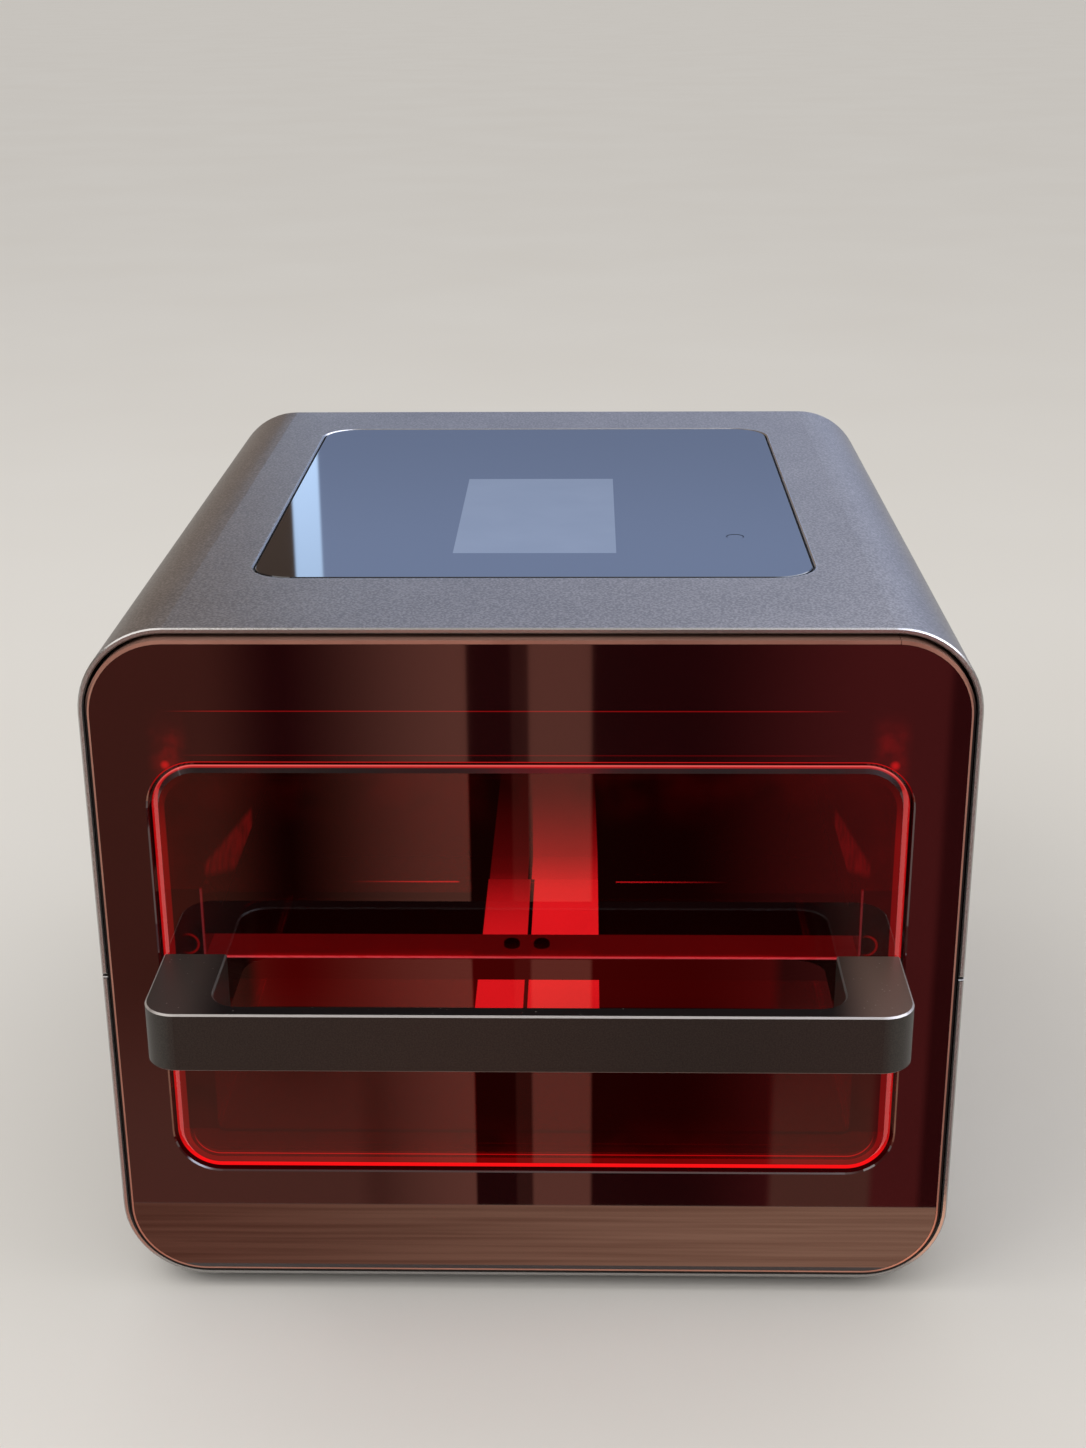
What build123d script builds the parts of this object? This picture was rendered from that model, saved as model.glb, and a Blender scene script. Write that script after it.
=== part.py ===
from build123d import *
from math import cos, pi, radians, sin, sqrt
import os

# Bench-top light curing unit: a wrap-round metal housing, a heated mirror chamber with
# light boards above and below, and a drawer that carries a mirror tray on telescopic runners.
# Millimetres. +X right, +Y towards the back, +Z up.
# The origin is at the middle of the footprint, on the surface that the feet stand on.

os.makedirs("parts", exist_ok=True)

# ---------------------------------------------------------------- driving sizes
# housing
housing_width = 300.0
housing_height = 251.4
housing_depth = 335.0
housing_corner_radius = 30.0
housing_wall = 2.0
rim_chamfer = 0.5
seam_height = 123.8
seam_gap = 0.4
seam_end_radius = 1.2
seam_lip_thickness = 1.2
seam_lip_reach = 6.0
seam_lip_sink = 0.1
foot_height = 4.0
vent_length = 36.0
vent_width = 4.0
vent_pitch = 12.0
vent_rows = 4
vent_column_x = 60.0
vent_centre_depth = 150.0

# drawer front
front_proud = 3.0
front_gap = 1.2
front_gap_below = 2.0
bezel_lip = 1.3
bezel_depth = 12.0
bezel_flange_width = 8.0
bezel_flange_thickness = 2.0
bezel_joint_x = 121.0
bezel_joint_gap = 0.2
fascia_thickness = 4.0
fascia_gap = 0.1
window_side_border = 16.9
window_top_border = 41.55
window_corner_radius = 16.5
window_edge_chamfer = 0.5
pane_thickness = 6.0
pane_gap = 1.1
pane_bevel_width = 2.5
pane_bevel_depth = 1.4
pane_flange_thickness = 2.0
pane_flange_reach = 3.0
pane_flange_gap = 0.3
flange_corner = 9.0
frame_opening_border = 16.4
frame_opening_top_border = 26.7
frame_opening_radius = 20.0
seal_inset = 1.0
seal_width = 6.0
seal_rear_gap = 0.3

# chamber
bulkhead_depth = 16.5
bulkhead_thickness = 2.0
bulkhead_gap = 0.3
chamber_side_space = 23.0
chamber_floor_height = 44.0
chamber_headroom = 35.9
chamber_depth = 243.0
chamber_sheet = 1.2

# tray, its bracket and the curing plate
runner_space = 12.7
tray_sheet = 1.2
tray_floor_rise = 18.0
tray_wall_height = 69.5
tray_back_clearance = 21.0
tray_ear_height = 95.0
tray_ear_depth = 10.0
tray_ear_slope = 28.0
tray_flange_reach = 11.0
tray_bend_radius = 3.0
bracket_depth = 17.0
bracket_web_height = 9.0
bracket_sheet = 1.5
clamp_width = 27.0
clamp_depth = 12.0
clamp_height = 8.0
clamp_centre_x = -1.7
clamp_corner = 2.0
clamp_screw_pitch = 10.5
clamp_screw_length = 7.0
clamp_screw_inset = 7.2
plate_thickness = 4.0
plate_gap = 1.5
plate_finger_gap = 34.0
plate_corner = 4.0

# handle
handle_reach = 43.1
handle_height = 20.9
handle_centre_height = 123.5
handle_arm_width = 21.8
handle_bar_thickness = 6.3
handle_outer_radius = 11.0
handle_inner_radius = 10.0
handle_top_chamfer = 0.6
handle_bottom_chamfer = 0.4
handle_screw_offset = 4.2
handle_screw_inset = 8.4
handle_screw_pitch = 11.0
handle_screw_depth = 14.0
handle_screw_end_gap = 2.0

# runners
drawer_travel = 210.0
runner_overlap = 10.0
runner_height = 35.0
runner_sheet = 1.2
runner_gap = 0.4
runner_rise = 40.0
runner_start = 22.0
runner_lip_offset = 3.2

# light modules
module_width = 64.0
module_length = 190.0
module_side_inset = 44.0
module_centre_depth = 140.0
module_border = 5.0
module_window = 3.0
module_frame_wall = 3.0
module_frame_height = 4.0
module_board = 1.6
led_size = 5.0
led_height = 1.5
led_columns = 2
led_rows = 4
led_column_pitch = 26.0
led_row_pitch = 44.0
sink_base = 3.0
sink_fin_height = 10.0
sink_fin_thickness = 1.6
sink_fin_count = 5

# control panel
glass_side_border = 50.0
glass_depth = 238.4
glass_start = 58.2
glass_thickness = 3.0
glass_corner_radius = 14.5
glass_edge_chamfer = 0.3
glass_gap = 0.8
carrier_border = 6.0
carrier_thickness = 4.0
carrier_corner = 6.0
carrier_pocket_gap = 0.3
carrier_post = 6.0
display_width = 68.4
display_depth = 120.5
display_thickness = 4.0
display_gap = 0.3
display_centre_depth = 145.0
board_width = 132.0
board_depth = 150.0
board_button_offset = 52.9
board_drop = 3.6
board_thickness = 1.6
board_post_inset = 5.0
chip_size = 20.0
chip_height = 1.4
button_side_inset = 25.1
button_depth = 111.2
button_radius = 3.0
button_glass_gap = 0.3
button_guide_gap = 0.05
button_flange_radius = 4.4
button_flange_height = 0.9
button_flange_gap = 0.3
button_recess = 0.1
button_travel = 0.7
button_free_gap = 0.2
tact_size = 6.0
tact_plunger = 2.6
tact_plunger_height = 0.5

# back panel
panel_recess = 3.0
panel_thickness = 2.0
panel_gap = 0.3
panel_tab_depth = 10.0
panel_tab_size = 12.0
panel_screw_length = 9.0
panel_screw_side_share = 0.22
panel_screw_top_share = 0.28
panel_screw_bottom_share = 0.2
cutout_gap = 0.2
fan_size = 60.0
fan_depth = 25.0
fan_corner = 3.0
fan_centre_x = 50.0
fan_drop = 61.4
fan_duct_radius = 28.5
fan_tip_gap = 0.8
fan_hub_radius = 14.0
fan_hub_gap = 1.0
fan_hub_sides = 12
fan_duct_sides = 20
fan_spider_depth = 3.0
fan_strut_width = 3.0
fan_bearing_radius = 4.0
fan_bearing_length = 8.0
fan_screw_pitch = 50.0
fan_screw_length = 12.0
fan_shaft_radius = 1.5
fan_shaft_gap = 0.05
fan_shaft_end_gap = 1.0
fan_blades = 7
fan_blade_thickness = 1.2
fan_blade_chord = 16.0
fan_blade_camber = 1.6
fan_blade_pitch = 38.0
grille_slot = 4.0
grille_pitch = 8.0
grille_slots = 6
rear_column_inset = 42.0
inlet_height = 42.0
inlet_body_width = 27.0
inlet_body_height = 19.5
inlet_body_depth = 20.0
inlet_flange_rim = 2.2
inlet_flange_thickness = 2.5
inlet_socket_width = 23.0
inlet_socket_height = 15.5
inlet_socket_corner = 4.0
inlet_socket_depth = 16.0
inlet_pin_width = 2.0
inlet_pin_height = 4.0
inlet_pin_pitch = 7.0
inlet_pin_inset = 5.0
inlet_pin_drop = 1.5
inlet_pin_rise = 2.5
switch_height = 82.0
switch_body_width = 14.0
switch_body_height = 21.0
switch_body_depth = 15.0
switch_bezel_rim = 2.0
rocker_radius = 8.0
rocker_sides = 16
rocker_width = 9.4
rocker_gap = 0.3
rocker_tilt = 12.0
rocker_sink = 1.0
rocker_back = 5.5
rocker_end_rise = 4.8
rocker_middle_rise = 2.6
rocker_pin_radius = 1.5
rocker_pin_length = 1.5
rocker_pin_gap = 0.05
usb_height = 150.0
usb_width = 14.4
usb_tall = 7.4
usb_body_depth = 14.0
usb_wall = 0.7
usb_proud = 0.6
usb_socket_depth = 11.0
usb_tongue_thickness = 1.8
usb_tongue_length = 9.0
usb_ear = 3.0
usb_ear_thickness = 1.0

# inside at the back and below
chassis_sheet = 1.5
chassis_side_gap = 9.0
chassis_flange = 12.0
chassis_end_gap = 0.5
heater_border = 26.0
heater_thickness = 1.5
pad_overlap = 17.0
pad_thickness = 8.0
main_board_width = 160.0
main_board_height = 96.0
main_board_thickness = 1.6
main_board_standoff = 4.0
main_board_drop = 65.75
main_board_inset = 5.0
main_board_post = 6.0
transformer_size = 26.0
transformer_height = 9.0
capacitor_size = 9.0
capacitor_height = 11.0
capacitor_pitch = 14.0
supply_side_gap = 23.0
supply_depth = 42.0
supply_inlet_gap = 9.5
supply_gap = 8.25
supply_tab_gap = 1.0
supply_terminal_width = 16.0
supply_terminal_depth = 30.0
probe_radius = 2.0
probe_side_inset = 19.0
probe_drop = 19.5
probe_reach = 12.0
probe_tail = 16.0
probe_wall_gap = 0.1
ribbon_width = 24.0
ribbon_thickness = 1.0
ribbon_bend_radius = 6.0
ribbon_socket_border = 2.0
ribbon_socket_height = 3.0
ribbon_socket_depth = 8.0
ribbon_socket_drop = 6.0
reed_x = -60.0
reed_length = 20.0
reed_size = 6.0
reed_drop = 22.0
magnet_length = 14.0
magnet_size = 5.0
magnet_drop = 18.5

# feet and screws
foot_radius = 10.0
foot_sides = 12
foot_side_inset = 45.0
foot_front = 32.0
foot_rear = 305.0
m3 = 1.5
m4 = 2.0
screw_clearance = 0.3
screw_head_share = 1.9
screw_head_height_share = 1.3
screw_head_sides = 8
screw_shank_sides = 6

# ---------------------------------------------------------------- reference places
total_depth = handle_reach + front_proud + housing_depth
rim_y = handle_reach + front_proud - total_depth / 2
rear_y = rim_y + housing_depth
base_z = foot_height
top_z = base_z + housing_height
seam_z = base_z + seam_height
mid_z = base_z + housing_height / 2
inner_half_width = housing_width / 2 - housing_wall

front_y = rim_y - front_proud
bezel_width = 2 * (inner_half_width - front_gap)
bezel_bottom_z = base_z + housing_wall + front_gap_below
bezel_top_z = top_z - housing_wall - front_gap
bezel_height = bezel_top_z - bezel_bottom_z
bezel_radius = housing_corner_radius - housing_wall - front_gap
front_z = (bezel_top_z + bezel_bottom_z) / 2
bezel_back_y = front_y + bezel_depth
fascia_width = bezel_width - 2 * (bezel_lip + fascia_gap)
fascia_height = bezel_height - 2 * (bezel_lip + fascia_gap)
fascia_radius = bezel_radius - bezel_lip - fascia_gap
fascia_back_y = front_y + fascia_thickness
window_width = fascia_width - 2 * window_side_border
window_height = fascia_height - 2 * window_top_border
pane_back_y = front_y + pane_thickness
pane_width = window_width - 2 * pane_gap
pane_height = window_height - 2 * pane_gap
pane_radius = window_corner_radius - pane_gap
frame_opening_width = fascia_width - 2 * frame_opening_border
frame_opening_height = fascia_height - 2 * frame_opening_top_border

bulkhead_y = rim_y + bulkhead_depth
chamber_y = bulkhead_y + bulkhead_thickness
chamber_back_y = chamber_y + chamber_depth
chamber_half_width = housing_width / 2 - chamber_side_space
chamber_height = housing_height - chamber_floor_height - chamber_headroom
chamber_floor_z = base_z + chamber_floor_height
chamber_top_z = chamber_floor_z + chamber_height
chamber_z = (chamber_floor_z + chamber_top_z) / 2
tray_half_width = chamber_half_width - runner_space
tray_floor_z = chamber_floor_z + tray_floor_rise
tray_top_z = tray_floor_z + tray_wall_height
tray_y = pane_back_y
tray_back_y = chamber_back_y - tray_back_clearance
runner_y = rim_y + runner_start
runner_z = chamber_floor_z + runner_rise
runner_length = drawer_travel + runner_overlap
handle_z = base_z + handle_centre_height
handle_front_y = front_y - handle_reach
handle_screw_x = tray_half_width + handle_screw_offset
handle_width = 2 * (handle_screw_x + handle_screw_inset)
bracket_top_z = tray_top_z
clamp_screw_y = tray_y + bracket_sheet + clamp_screw_inset

module_centre_x = chamber_half_width - module_side_inset
module_y = rim_y + module_centre_depth
glass_width = housing_width - 2 * glass_side_border
glass_y = rim_y + glass_start + glass_depth / 2
glass_bottom_z = top_z - glass_thickness
carrier_top_z = top_z - housing_wall
carrier_bottom_z = carrier_top_z - carrier_thickness
display_y = rim_y + display_centre_depth
button_x = glass_width / 2 - button_side_inset
board_centre_x = button_x - board_button_offset
board_top_z = carrier_bottom_z - board_drop
board_end_y = display_y + board_depth / 2
button_y = rim_y + button_depth
button_bottom_z = carrier_bottom_z - button_flange_gap - button_flange_height

panel_y = rear_y - panel_recess - panel_thickness
panel_face_y = panel_y + panel_thickness
fan_y = panel_y - fan_depth
fan_z = top_z - fan_drop
inlet_x = housing_width / 2 - rear_column_inset
inlet_z = base_z + inlet_height
switch_x = inlet_x
switch_z = base_z + switch_height
rocker_pivot_y = panel_face_y - rocker_sink
usb_x = -inlet_x
usb_z = base_z + usb_height
chassis_z = base_z + housing_wall
vents_y = rim_y + vent_centre_depth
foot_x = housing_width / 2 - foot_side_inset
chassis_half_width = chamber_half_width - chassis_side_gap
heater_width = 2 * (chamber_half_width - heater_border)
heater_height = chamber_height - 2 * heater_border
pad_y = chamber_back_y + chamber_sheet + heater_thickness
main_board_y = pad_y + pad_thickness + main_board_standoff
main_board_back_y = main_board_y + main_board_thickness
main_board_z = chamber_top_z - main_board_drop
ribbon_socket_top_z = main_board_z + main_board_height / 2 - 2 * main_board_inset
probe_x = chamber_half_width - probe_side_inset
probe_z = chamber_top_z - probe_drop


# ---------------------------------------------------------------- helpers
def block(x, y, z):
    """A rectangular block between three pairs of limits."""
    size = (x[1] - x[0], y[1] - y[0], z[1] - z[0])
    centre = ((x[0] + x[1]) / 2, (y[0] + y[1]) / 2, (z[0] + z[1]) / 2)
    return Pos(*centre) * Box(*size)


def about(centre, size):
    """The pair of limits of a size about its centre."""
    return (centre - size / 2, centre + size / 2)


def upright(profile, y, thickness, x=0.0, z=0.0):
    """Extrude a profile that faces the front, from its front face at y towards the back."""
    plane = Plane(origin=(x, y, z), x_dir=(1, 0, 0), z_dir=(0, -1, 0))
    return extrude(plane * profile, thickness, dir=(0, 1, 0))


def flat(profile, z, thickness, x=0.0, y=0.0):
    """Extrude a profile that lies flat, from its underside at z upwards."""
    return extrude(Plane(origin=(x, y, z)) * profile, thickness, dir=(0, 0, 1))


def sideways(profile, x, thickness):
    """Extrude a profile drawn in Y and Z, from x towards +X."""
    plane = Plane(origin=(x, 0, 0), x_dir=(0, 1, 0), z_dir=(1, 0, 0))
    return extrude(plane * profile, thickness, dir=(1, 0, 0))


def tube_profile(width, height, radius, wall):
    """A rounded rectangular ring of even wall."""
    outer = RectangleRounded(width, height, radius)
    inner = RectangleRounded(width - 2 * wall, height - 2 * wall, radius - wall)
    return outer - inner


def cut_corners(width, height, corner):
    """A rectangle with its corners cut off."""
    outline = Rectangle(width, height)
    return chamfer(outline.vertices(), corner)


def mirrored(shape):
    """The same piece on the other side of the object."""
    return mirror(shape, about=Plane.YZ)


def shank(radius):
    """Outline of a small screw's shank, with few sides because threads are not modelled."""
    return RegularPolygon(radius, screw_shank_sides)


def screw_hole(radius):
    """Outline of the clearance hole for a small screw."""
    return shank(radius + screw_clearance)


def screw_head(radius):
    """Outline of a small screw's head, with few sides."""
    return RegularPolygon(screw_head_share * radius, screw_head_sides)


def screw_y(radius, seat_y, length, x, z, towards):
    """A screw along Y: its head sits on seat_y, its shank runs towards the back (1) or the front (-1)."""
    head_height = screw_head_height_share * radius
    head_y = seat_y - head_height if towards > 0 else seat_y
    shank_y = seat_y if towards > 0 else seat_y - length
    head = upright(screw_head(radius), head_y, head_height, x, z)
    return head + upright(shank(radius), shank_y, length, x, z)


def screw_z(radius, seat_z, length, x, y, towards):
    """A screw along Z: its head sits on seat_z, its shank runs up (1) or down (-1)."""
    head_height = screw_head_height_share * radius
    head_z = seat_z - head_height if towards > 0 else seat_z
    shank_z = seat_z if towards > 0 else seat_z - length
    head = flat(screw_head(radius), head_z, head_height, x, y)
    return head + flat(shank(radius), shank_z, length, x, y)


def four_corners(half_x, half_y):
    """The corners of a rectangle about the origin."""
    return [(sx * half_x, sy * half_y) for sx in (-1, 1) for sy in (-1, 1)]


def row_of(count, pitch):
    """Places of a row of like things about zero."""
    return [(i - (count - 1) / 2) * pitch for i in range(count)]


def save(name, shape):
    """Write one named piece."""
    export_step(shape, f"parts/{name}.step")


# ---------------------------------------------------------------- housing
def housing_tube():
    profile = tube_profile(housing_width, housing_height, housing_corner_radius, housing_wall)
    tube = upright(profile, rim_y, housing_depth, z=mid_z)
    rim_edges = tube.edges().group_by(Axis.Y)[0]
    return chamfer(rim_edges, rim_chamfer)


def housing_half(bottom, top):
    """The part of the housing tube between two heights, its seam edges rounded where they meet the rim."""
    margin = housing_wall
    x = (-housing_width, housing_width)
    shell = housing_tube() & block(x, (rim_y - margin, rear_y + margin), (bottom, top))
    seam_edges = [e for e in shell.edges().filter_by(Axis.X) if abs(e.center().Z - seam_z) < seam_gap]
    rim_ends = [e for e in seam_edges if e.center().Y < rim_y + rim_chamfer / 2]
    return fillet(rim_ends, seam_end_radius)


def panel_screw_places():
    """Screw places of the back panel, clear of the housing's corners: above the seam and below it."""
    reach_x = inner_half_width - panel_tab_size / 2
    reach_z = housing_height / 2 - housing_wall - panel_tab_size / 2
    side_z = panel_screw_side_share * housing_height
    upper_x = panel_screw_top_share * housing_width
    lower_x = panel_screw_bottom_share * housing_width
    upper = [(-reach_x, mid_z + side_z), (reach_x, mid_z + side_z)]
    upper += [(-upper_x, mid_z + reach_z), (upper_x, mid_z + reach_z)]
    lower = [(-reach_x, mid_z - side_z), (reach_x, mid_z - side_z)]
    lower += [(-lower_x, mid_z - reach_z), (lower_x, mid_z - reach_z)]
    return upper, lower


def panel_tab(x, z):
    """A small block inside the housing wall, which a back panel screw goes into."""
    y = panel_y - panel_tab_depth
    tab = block(about(x, panel_tab_size), (y, panel_y), about(z, panel_tab_size))
    return tab - upright(shank(m3), y, panel_tab_depth, x, z)


def top_shell():
    shell = housing_half(seam_z + seam_gap / 2, top_z + housing_wall)
    opening = RectangleRounded(
        glass_width + 2 * glass_gap, glass_depth + 2 * glass_gap, glass_corner_radius + glass_gap
    )
    before = shell.edges()
    shell -= flat(opening, carrier_top_z - housing_wall, 3 * housing_wall, y=glass_y)
    new_top = (shell.edges() - before).filter_by(lambda e: e.center().Z > top_z - housing_wall / 2)
    shell = chamfer(new_top, rim_chamfer)
    for x, z in panel_screw_places()[0]:
        shell += panel_tab(x, z)
    return shell


def bottom_shell():
    shell = housing_half(base_z - housing_wall, seam_z - seam_gap / 2)
    lip_y = (chamber_y, panel_y)
    for side in (-1, 1):
        wall_x = side * inner_half_width
        inner_x = side * (inner_half_width - seam_lip_thickness - seam_lip_sink)
        free_x = side * (inner_half_width - seam_lip_sink)
        root_z = (seam_z - 2 * seam_lip_reach, seam_z - seam_gap / 2)
        shell += block(sorted((wall_x, inner_x)), lip_y, root_z)
        lip_z = (seam_z - seam_gap / 2, seam_z + seam_lip_reach)
        shell += block(sorted((free_x, inner_x)), lip_y, lip_z)
    cuts = [Pos(x, y) * screw_hole(m4) for x, y in foot_places()]
    vent = Rectangle(vent_length, vent_width)
    for x in (-vent_column_x, vent_column_x):
        cuts += [Pos(x, vents_y + dy) * vent for dy in row_of(vent_rows, vent_pitch)]
    shell -= flat(Sketch() + cuts, base_z - housing_wall, 3 * housing_wall)
    for x, z in panel_screw_places()[1]:
        shell += panel_tab(x, z)
    return shell


def foot_places():
    return [(x, rim_y + depth) for x in (-foot_x, foot_x) for depth in (foot_front, foot_rear)]


def rubber_feet():
    recess_depth = foot_height - housing_wall / 2
    head_room = screw_head(m4 + screw_clearance)
    feet = []
    for x, y in foot_places():
        foot = flat(RegularPolygon(foot_radius, foot_sides), 0, foot_height, x, y)
        foot -= flat(head_room, 0, recess_depth, x, y)
        foot -= flat(screw_hole(m4), 0, foot_height, x, y)
        feet.append(foot)
    return Compound(feet)


def foot_screws():
    seat_z = foot_height - housing_wall / 2
    length = foot_height + 3 * housing_wall - seat_z
    return Compound([screw_z(m4, seat_z, length, x, y, towards=1) for x, y in foot_places()])


# ---------------------------------------------------------------- drawer front
def drawer_bezel():
    ring = tube_profile(bezel_width, bezel_height, bezel_radius, bezel_lip)
    bezel = upright(ring, front_y, bezel_depth, z=front_z)
    border = 2 * (bezel_lip + bezel_flange_width)
    outline = RectangleRounded(bezel_width, bezel_height, bezel_radius)
    flange = outline - cut_corners(bezel_width - border, bezel_height - border, flange_corner)
    flange_y = bezel_back_y - bezel_flange_thickness
    bezel += upright(flange, flange_y, bezel_flange_thickness, z=front_z)
    joint_z = (front_z + bezel_height / 4, top_z)
    return bezel - block(about(bezel_joint_x, bezel_joint_gap), (handle_front_y, bulkhead_y), joint_z)


def drawer_fascia():
    outline = RectangleRounded(fascia_width, fascia_height, fascia_radius)
    window = RectangleRounded(window_width, window_height, window_corner_radius)
    sheet = upright(outline, front_y, fascia_thickness, z=front_z)
    before = sheet.edges()
    sheet -= upright(window, front_y, fascia_thickness, z=front_z)
    window_edges = (sheet.edges() - before).group_by(Axis.Y)[0]
    return chamfer(window_edges, window_edge_chamfer)


def pane_flange(gap):
    """Outline of the flange that holds the pane behind the fascia, with a gap all round."""
    reach = pane_gap + pane_flange_reach + gap
    return cut_corners(pane_width + 2 * reach, pane_height + 2 * reach, flange_corner)


def window_pane():
    outline = RectangleRounded(pane_width, pane_height, pane_radius)
    pane = upright(outline, front_y, pane_thickness, z=front_z)
    front_edges = pane.edges().group_by(Axis.Y)[0]
    face = pane.faces().sort_by(Axis.Y)[0]
    pane = chamfer(front_edges, pane_bevel_width, pane_bevel_depth, reference=face)
    pane += upright(pane_flange(0), fascia_back_y, pane_flange_thickness, z=front_z)
    for x, z in handle_screw_places():
        pane -= upright(screw_hole(m4), front_y, pane_thickness, x, z)
    return pane


def drawer_frame():
    depth = bezel_depth - fascia_thickness - bezel_flange_thickness
    outline = RectangleRounded(fascia_width, fascia_height, fascia_radius)
    opening = RectangleRounded(frame_opening_width, frame_opening_height, frame_opening_radius)
    frame = upright(outline - opening, fascia_back_y, depth, z=front_z)
    pocket_depth = pane_flange_thickness + fascia_gap
    return frame - upright(pane_flange(pane_flange_gap), fascia_back_y, pocket_depth, z=front_z)


def drawer_seal():
    inset = bezel_lip + seal_inset
    width = bezel_width - 2 * inset
    height = bezel_height - 2 * inset
    profile = tube_profile(width, height, bezel_radius - inset, seal_width)
    depth = bulkhead_y - seal_rear_gap - bezel_back_y
    return upright(profile, bezel_back_y, depth, z=front_z)


def handle_screw_places():
    half = handle_screw_pitch / 2
    return [(x, handle_z + dz) for x in (-handle_screw_x, handle_screw_x) for dz in (-half, half)]


def handle():
    """A bar bent out of one piece with its two arms, rounded at the corners and chamfered along its edges."""
    centre_y = (handle_front_y + front_y) / 2
    outer = Pos(0, centre_y) * Rectangle(handle_width, handle_reach)
    outer = fillet(outer.vertices().group_by(Axis.Y)[0], handle_outer_radius)
    inner_reach = handle_reach - handle_bar_thickness
    inner = Pos(0, front_y - inner_reach / 2) * Rectangle(handle_width - 2 * handle_arm_width, inner_reach)
    inner = fillet(inner.vertices().group_by(Axis.Y)[0], handle_inner_radius)
    bar = flat(outer - inner, handle_z - handle_height / 2, handle_height)
    free_end = front_y - handle_bottom_chamfer / 2
    top_edges = bar.edges().group_by(Axis.Z)[-1].filter_by(lambda e: e.center().Y < free_end)
    bar = chamfer(top_edges, handle_top_chamfer)
    bottom_edges = bar.edges().group_by(Axis.Z)[0].filter_by(lambda e: e.center().Y < free_end)
    bar = chamfer(bottom_edges, handle_bottom_chamfer)
    for x, z in handle_screw_places():
        bar -= upright(shank(m4), front_y - handle_screw_depth, handle_screw_depth, x, z)
    return bar


def handle_screws():
    seat_y = tray_y + tray_sheet
    length = pane_thickness + tray_sheet + handle_screw_depth - handle_screw_end_gap
    return Compound([screw_y(m4, seat_y, length, x, z, towards=-1) for x, z in handle_screw_places()])


# ---------------------------------------------------------------- tray
def drawer_pan():
    """The tray: a bent trough with a back wall, sloping ears in front and flanges for the handle screws."""
    half = tray_half_width
    bottom_z = tray_floor_z - tray_sheet
    outside = Pos(0, (bottom_z + tray_top_z) / 2) * Rectangle(2 * half, tray_top_z - bottom_z)
    outside = fillet(outside.vertices().group_by(Axis.Y)[0], tray_bend_radius + tray_sheet)
    hollow = Pos(0, tray_top_z) * Rectangle(2 * (half - tray_sheet), 2 * tray_wall_height)
    hollow = fillet(hollow.vertices().group_by(Axis.Y)[0], tray_bend_radius)
    trough = upright(outside - hollow, tray_y, tray_back_y - tray_y)
    back = upright(outside, tray_back_y - tray_sheet, tray_sheet)
    ear_bottom_z = tray_top_z - tray_sheet
    ear_top_z = tray_floor_z + tray_ear_height
    ear_outline = Polygon(
        (tray_y, ear_bottom_z),
        (tray_y, ear_top_z),
        (tray_y + tray_ear_depth, ear_top_z),
        (tray_y + tray_ear_depth + tray_ear_slope, ear_bottom_z),
        align=None,
    )
    ear = sideways(ear_outline, half - tray_sheet, tray_sheet)
    flange_x = (half - tray_sheet, half + tray_flange_reach)
    flange = block(flange_x, (tray_y, tray_y + tray_sheet), (tray_floor_z, ear_top_z))
    for x, z in handle_screw_places():
        flange -= upright(screw_hole(m4), tray_y, tray_sheet, abs(x), z)
    side = ear + flange
    return trough + back + side + mirrored(side)


def handle_bracket():
    """An angle that ties the tray's sides together behind the pane."""
    half = tray_half_width - tray_sheet
    web_y = (tray_y, tray_y + bracket_sheet)
    ledge_y = (tray_y, tray_y + bracket_depth)
    bracket = block((-half, half), web_y, (bracket_top_z - bracket_web_height, bracket_top_z))
    bracket += block((-half, half), ledge_y, (bracket_top_z - bracket_sheet, bracket_top_z))
    for x, y in clamp_screw_places():
        bracket -= flat(screw_hole(m3), bracket_top_z - bracket_sheet, bracket_sheet, x, y)
    return bracket


def clamp_screw_places():
    half = clamp_screw_pitch / 2
    return [(clamp_centre_x - half, clamp_screw_y), (clamp_centre_x + half, clamp_screw_y)]


def pane_clamp():
    top = bracket_top_z - bracket_sheet
    front = tray_y + bracket_sheet
    body = block(about(clamp_centre_x, clamp_width), (front, front + clamp_depth), (top - clamp_height, top))
    body = chamfer(body.edges().filter_by(Axis.Z).group_by(Axis.Y)[-1], clamp_corner)
    for x, y in clamp_screw_places():
        body -= flat(shank(m3), top - clamp_screw_length, clamp_screw_length, x, y)
    return body


def bracket_screws():
    places = clamp_screw_places()
    return Compound([screw_z(m3, bracket_top_z, clamp_screw_length, x, y, towards=-1) for x, y in places])


def curing_plate():
    half = tray_half_width - tray_sheet - tray_bend_radius - plate_gap
    front = tray_y + bracket_depth + plate_gap
    back = tray_back_y - tray_sheet - plate_finger_gap
    outline = cut_corners(2 * half, back - front, plate_corner)
    return flat(outline, tray_floor_z, plate_thickness, y=(front + back) / 2)


# ---------------------------------------------------------------- chamber
def front_bulkhead():
    width = 2 * (inner_half_width - bulkhead_gap)
    height = housing_height - 2 * (housing_wall + bulkhead_gap)
    radius = housing_corner_radius - housing_wall - bulkhead_gap
    sheet = upright(RectangleRounded(width, height, radius), bulkhead_y, bulkhead_thickness, z=mid_z)
    mouth = Rectangle(2 * chamber_half_width, chamber_height)
    return sheet - upright(mouth, bulkhead_y, bulkhead_thickness, z=chamber_z)


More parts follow.
